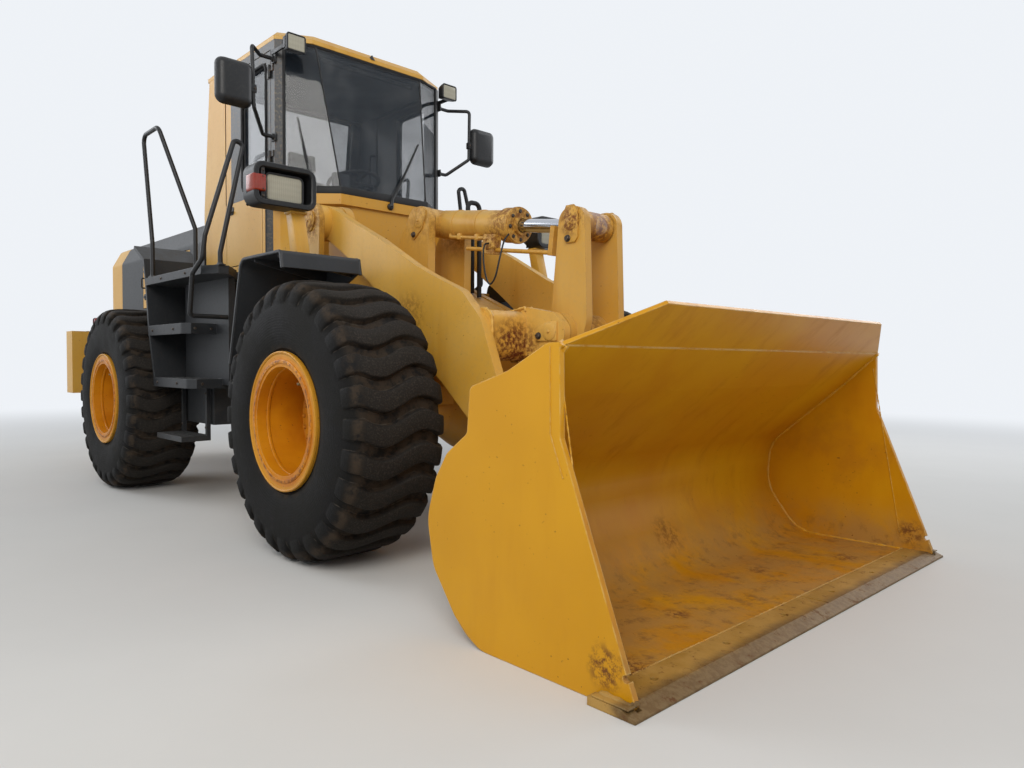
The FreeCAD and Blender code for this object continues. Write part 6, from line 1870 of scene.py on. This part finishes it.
def buildAxles():
    for name, x, face, body in (("front", 0.0, 0.252, "front_frame"), ("rear", -3.3, -0.252, "rear_frame")):
        way = 1 if face > 0 else -1
        shape = Shape()
        shape.turned([(0.18, 0), (0.18, 0.19), (0.214, 0.19), (0.226, 0.165), (0.252, 0.11), (0.262, 0)],
                (x, 0, 0.78), (way, 0, 0), 44)
        for k in range(12):
            a = math.tau * (k + 0.5) / 12
            shape.hexBolt((x + way * 0.2138, 0.175 * math.cos(a), 0.78 + 0.175 * math.sin(a)), (way, 0, 0),
                    0.01)
        for side in (1, -1):
            for k in range(16):
                a = math.tau * (k + 0.5) / 16
                shape.hexBolt((x + 0.205 * math.cos(a), side * 0.672, 0.78 + 0.205 * math.sin(a)),
                        (0, -side, 0), 0.01)
        shape.piece(name + "_axle_cover", "body", body, name + "_axle")
    joint = Shape()
    for x in (-0.46, -1.53):
        z = 0.78 + 0.05 * (-0.5 - x) / 1.055 if x < -0.5 else 0.78
        for axis in ((0, 1, 0), (0, 0, 1)):
            joint.turned([(-0.078, 0), (-0.078, 0.022), (0.078, 0.022), (0.078, 0)], (x, 0, z), axis, 18)
    joint.piece("shaft_joints", "iron", "front_frame", "front_axle")


onEachSide(hatchLatches, "hatch_latches", "black", "hood_door", "hood_door")
buildHoodTop()
buildTail()
buildEngine()
buildAxles()
print("hood, tail and running gear ready")


# Seat and the sensor wire

padPlan = [  # piece, outline seen from the side, half width, cap on the swelling, fill
    ("seat_cushion", [(-2.232, 2.135, 0.03), (-1.82, 2.135, 0.045), (-1.82, 2.214,
        0.035), (-2.232, 2.206, 0.03)],
     0.226, 0.012, 0.7),
    ("seat_back", [(-2.246, 2.215, 0.02), (-2.314, 2.738, 0.035), (-2.382, 2.738,
        0.03), (-2.32, 2.205, 0.02)],
     0.216, 0.012, 0.7),
    ("seat_headrest", [(-2.31, 2.806, 0.02), (-2.326, 2.962, 0.028), (-2.386, 2.962,
        0.028), (-2.38, 2.806, 0.02)],
     0.128, 0.008, 0.8),
]


def plainCopy(thing):
    # the object's mesh with its modifiers applied, on a new object
    bpy.context.view_layer.update()
    graph = bpy.context.evaluated_depsgraph_get()
    mesh = bpy.data.meshes.new_from_object(thing.evaluated_get(graph))
    name = thing.name
    bpy.data.objects.remove(thing)
    copy = bpy.data.objects.new(name, mesh)
    bpy.context.scene.collection.objects.link(copy)
    return copy


def puffedPad(name, shape, cap):
    # a fine skin, blown up by a short cloth run, held to the cap, then smoothed once
    scene = bpy.context.scene
    mesh = bpy.data.meshes.new(name)
    mesh.from_pydata([(p.x + ahead, p.y, p.z) for p in shape.points], [], shape.faces)
    pad = bpy.data.objects.new(name, mesh)
    scene.collection.objects.link(pad)
    skin = pad.modifiers.new("skin", "REMESH")
    skin.mode = "VOXEL"
    skin.voxel_size = 0.008
    pad = plainCopy(pad)
    air = pad.modifiers.new("air", "CLOTH")
    air.settings.use_pressure = True
    air.settings.uniform_pressure_force = 4.0
    air.settings.effector_weights.gravity = 0.0
    air.collision_settings.use_collision = False
    air.point_cache.frame_start = 1
    air.point_cache.frame_end = 20
    for number in range(1, 21):
        scene.frame_set(number)
    blown = pad.evaluated_get(bpy.context.evaluated_depsgraph_get())
    steps = [new.co - old.co for new, old in zip(blown.data.vertices, pad.data.vertices)]
    pad.modifiers.clear()
    scene.frame_set(1)
    for vert, step in zip(pad.data.vertices, steps):
        vert.co += step * min(1.0, cap / max(step.length, 1e-6))
    smooth = pad.modifiers.new("smooth", "SUBSURF")
    smooth.levels = 1
    return plainCopy(pad)


def buildSeat():
    seams = Shape()
    for name, outline, half, cap, fill in padPlan:
        shape = Shape()
        shape.slab(outline, -half, half, "side", 0.02)
        pad = puffedPad(name, shape, cap)
        pad.data.materials.clear()
        pad.data.materials.append(finishes["cloth"])
        pad.data.shade_smooth()
        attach(pad, "rear_frame")
        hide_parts("seat")
        bpy.context.view_layer.update()
        line = rounded([(corner[0], corner[1], corner[2]) for corner in outline], 4)
        for y in (-half * 0.97, -half * 0.42, half * 0.42, half * 0.97):
            path = []
            for p in line:
                place, normal = pad.closest_point_on_mesh((p.x + ahead, y, p.y))[1:3]
                path.append(Vector((place.x - ahead, place.y, place.z)) - normal * 0.001)
            seams.loop(path, 0.0035, 6)
    for y in (-0.07, 0.07):
        seams.tube([(-2.352, y, 2.725), (-2.352, y, 2.82)], 0.007, 8)
    seams.piece("seat_piping", "rubber", "rear_frame", "seat", ("seat",))
    base = Shape()
    base.plate((-2.215, -0.2), (-1.85, 0.2), 0.03, 2.105, 2.128, "plan", 0.006)
    for k in range(5):
        low = 1.925 + 0.034 * k
        base.plate((-2.205, -0.165), (-1.865, 0.165), 0.02, low, low + 0.022, "plan", 0.008)
    base.tube([(-1.86, -0.19, 2.116), (-1.8, -0.19, 2.11)], 0.009, 10)
    for side in (1, -1):
        base.tube(bentPath([(-2.3, 0.235 * side, 2.25), (-2.3, 0.262 * side, 2.25),
                (-2.3, 0.262 * side, 2.33),
                (-2.04, 0.262 * side, 2.33)], 0.03), 0.016, 12)
    base.piece("seat_mount", "plastic", "rear_frame", "seat_base")


wireLook = {
    "radius": 0.0055,
    "path": [(0.3, -0.128, 1.858), (0.304, -0.168, 1.84), (0.318, -0.19, 1.76), (0.345, -0.196, 1.65),
        (0.385, -0.196, 1.59), (0.43, -0.192, 1.63), (0.452, -0.176, 1.74), (0.452, -0.14, 1.85),
        (0.44, -0.088, 1.903)],
}


def buildWire(look):
    # a thin wire that hangs in a loop below the tilt cylinder
    corners = [Vector(point) for point in look["path"]]
    path = [corners[0]]
    for i in range(len(corners) - 1):
        before = corners[max(i - 1, 0)]
        after = corners[min(i + 2, len(corners) - 1)]
        for k in range(1, 7):
            part = k / 6
            one, two = corners[i], corners[i + 1]
            path.append(one * (2 * part ** 3 - 3 * part ** 2 + 1) + two * (3 * part ** 2 - 2 * part ** 3)
                    + (two - before) * 0.5 * (part ** 3 - 2 * part ** 2 + part)
                    + (after - one) * 0.5 * (part ** 3 - part ** 2))
    shape = Shape()
    shape.tube(path, look["radius"], 10)
    wire = shape.piece("sensor_wire", "rubber", "tilt_barrel", "tilt_barrel")
    length = sum((b - a).length for a, b in zip(path, path[1:]))


buildSeat()
buildWire(wireLook)
print("seat and wire ready")
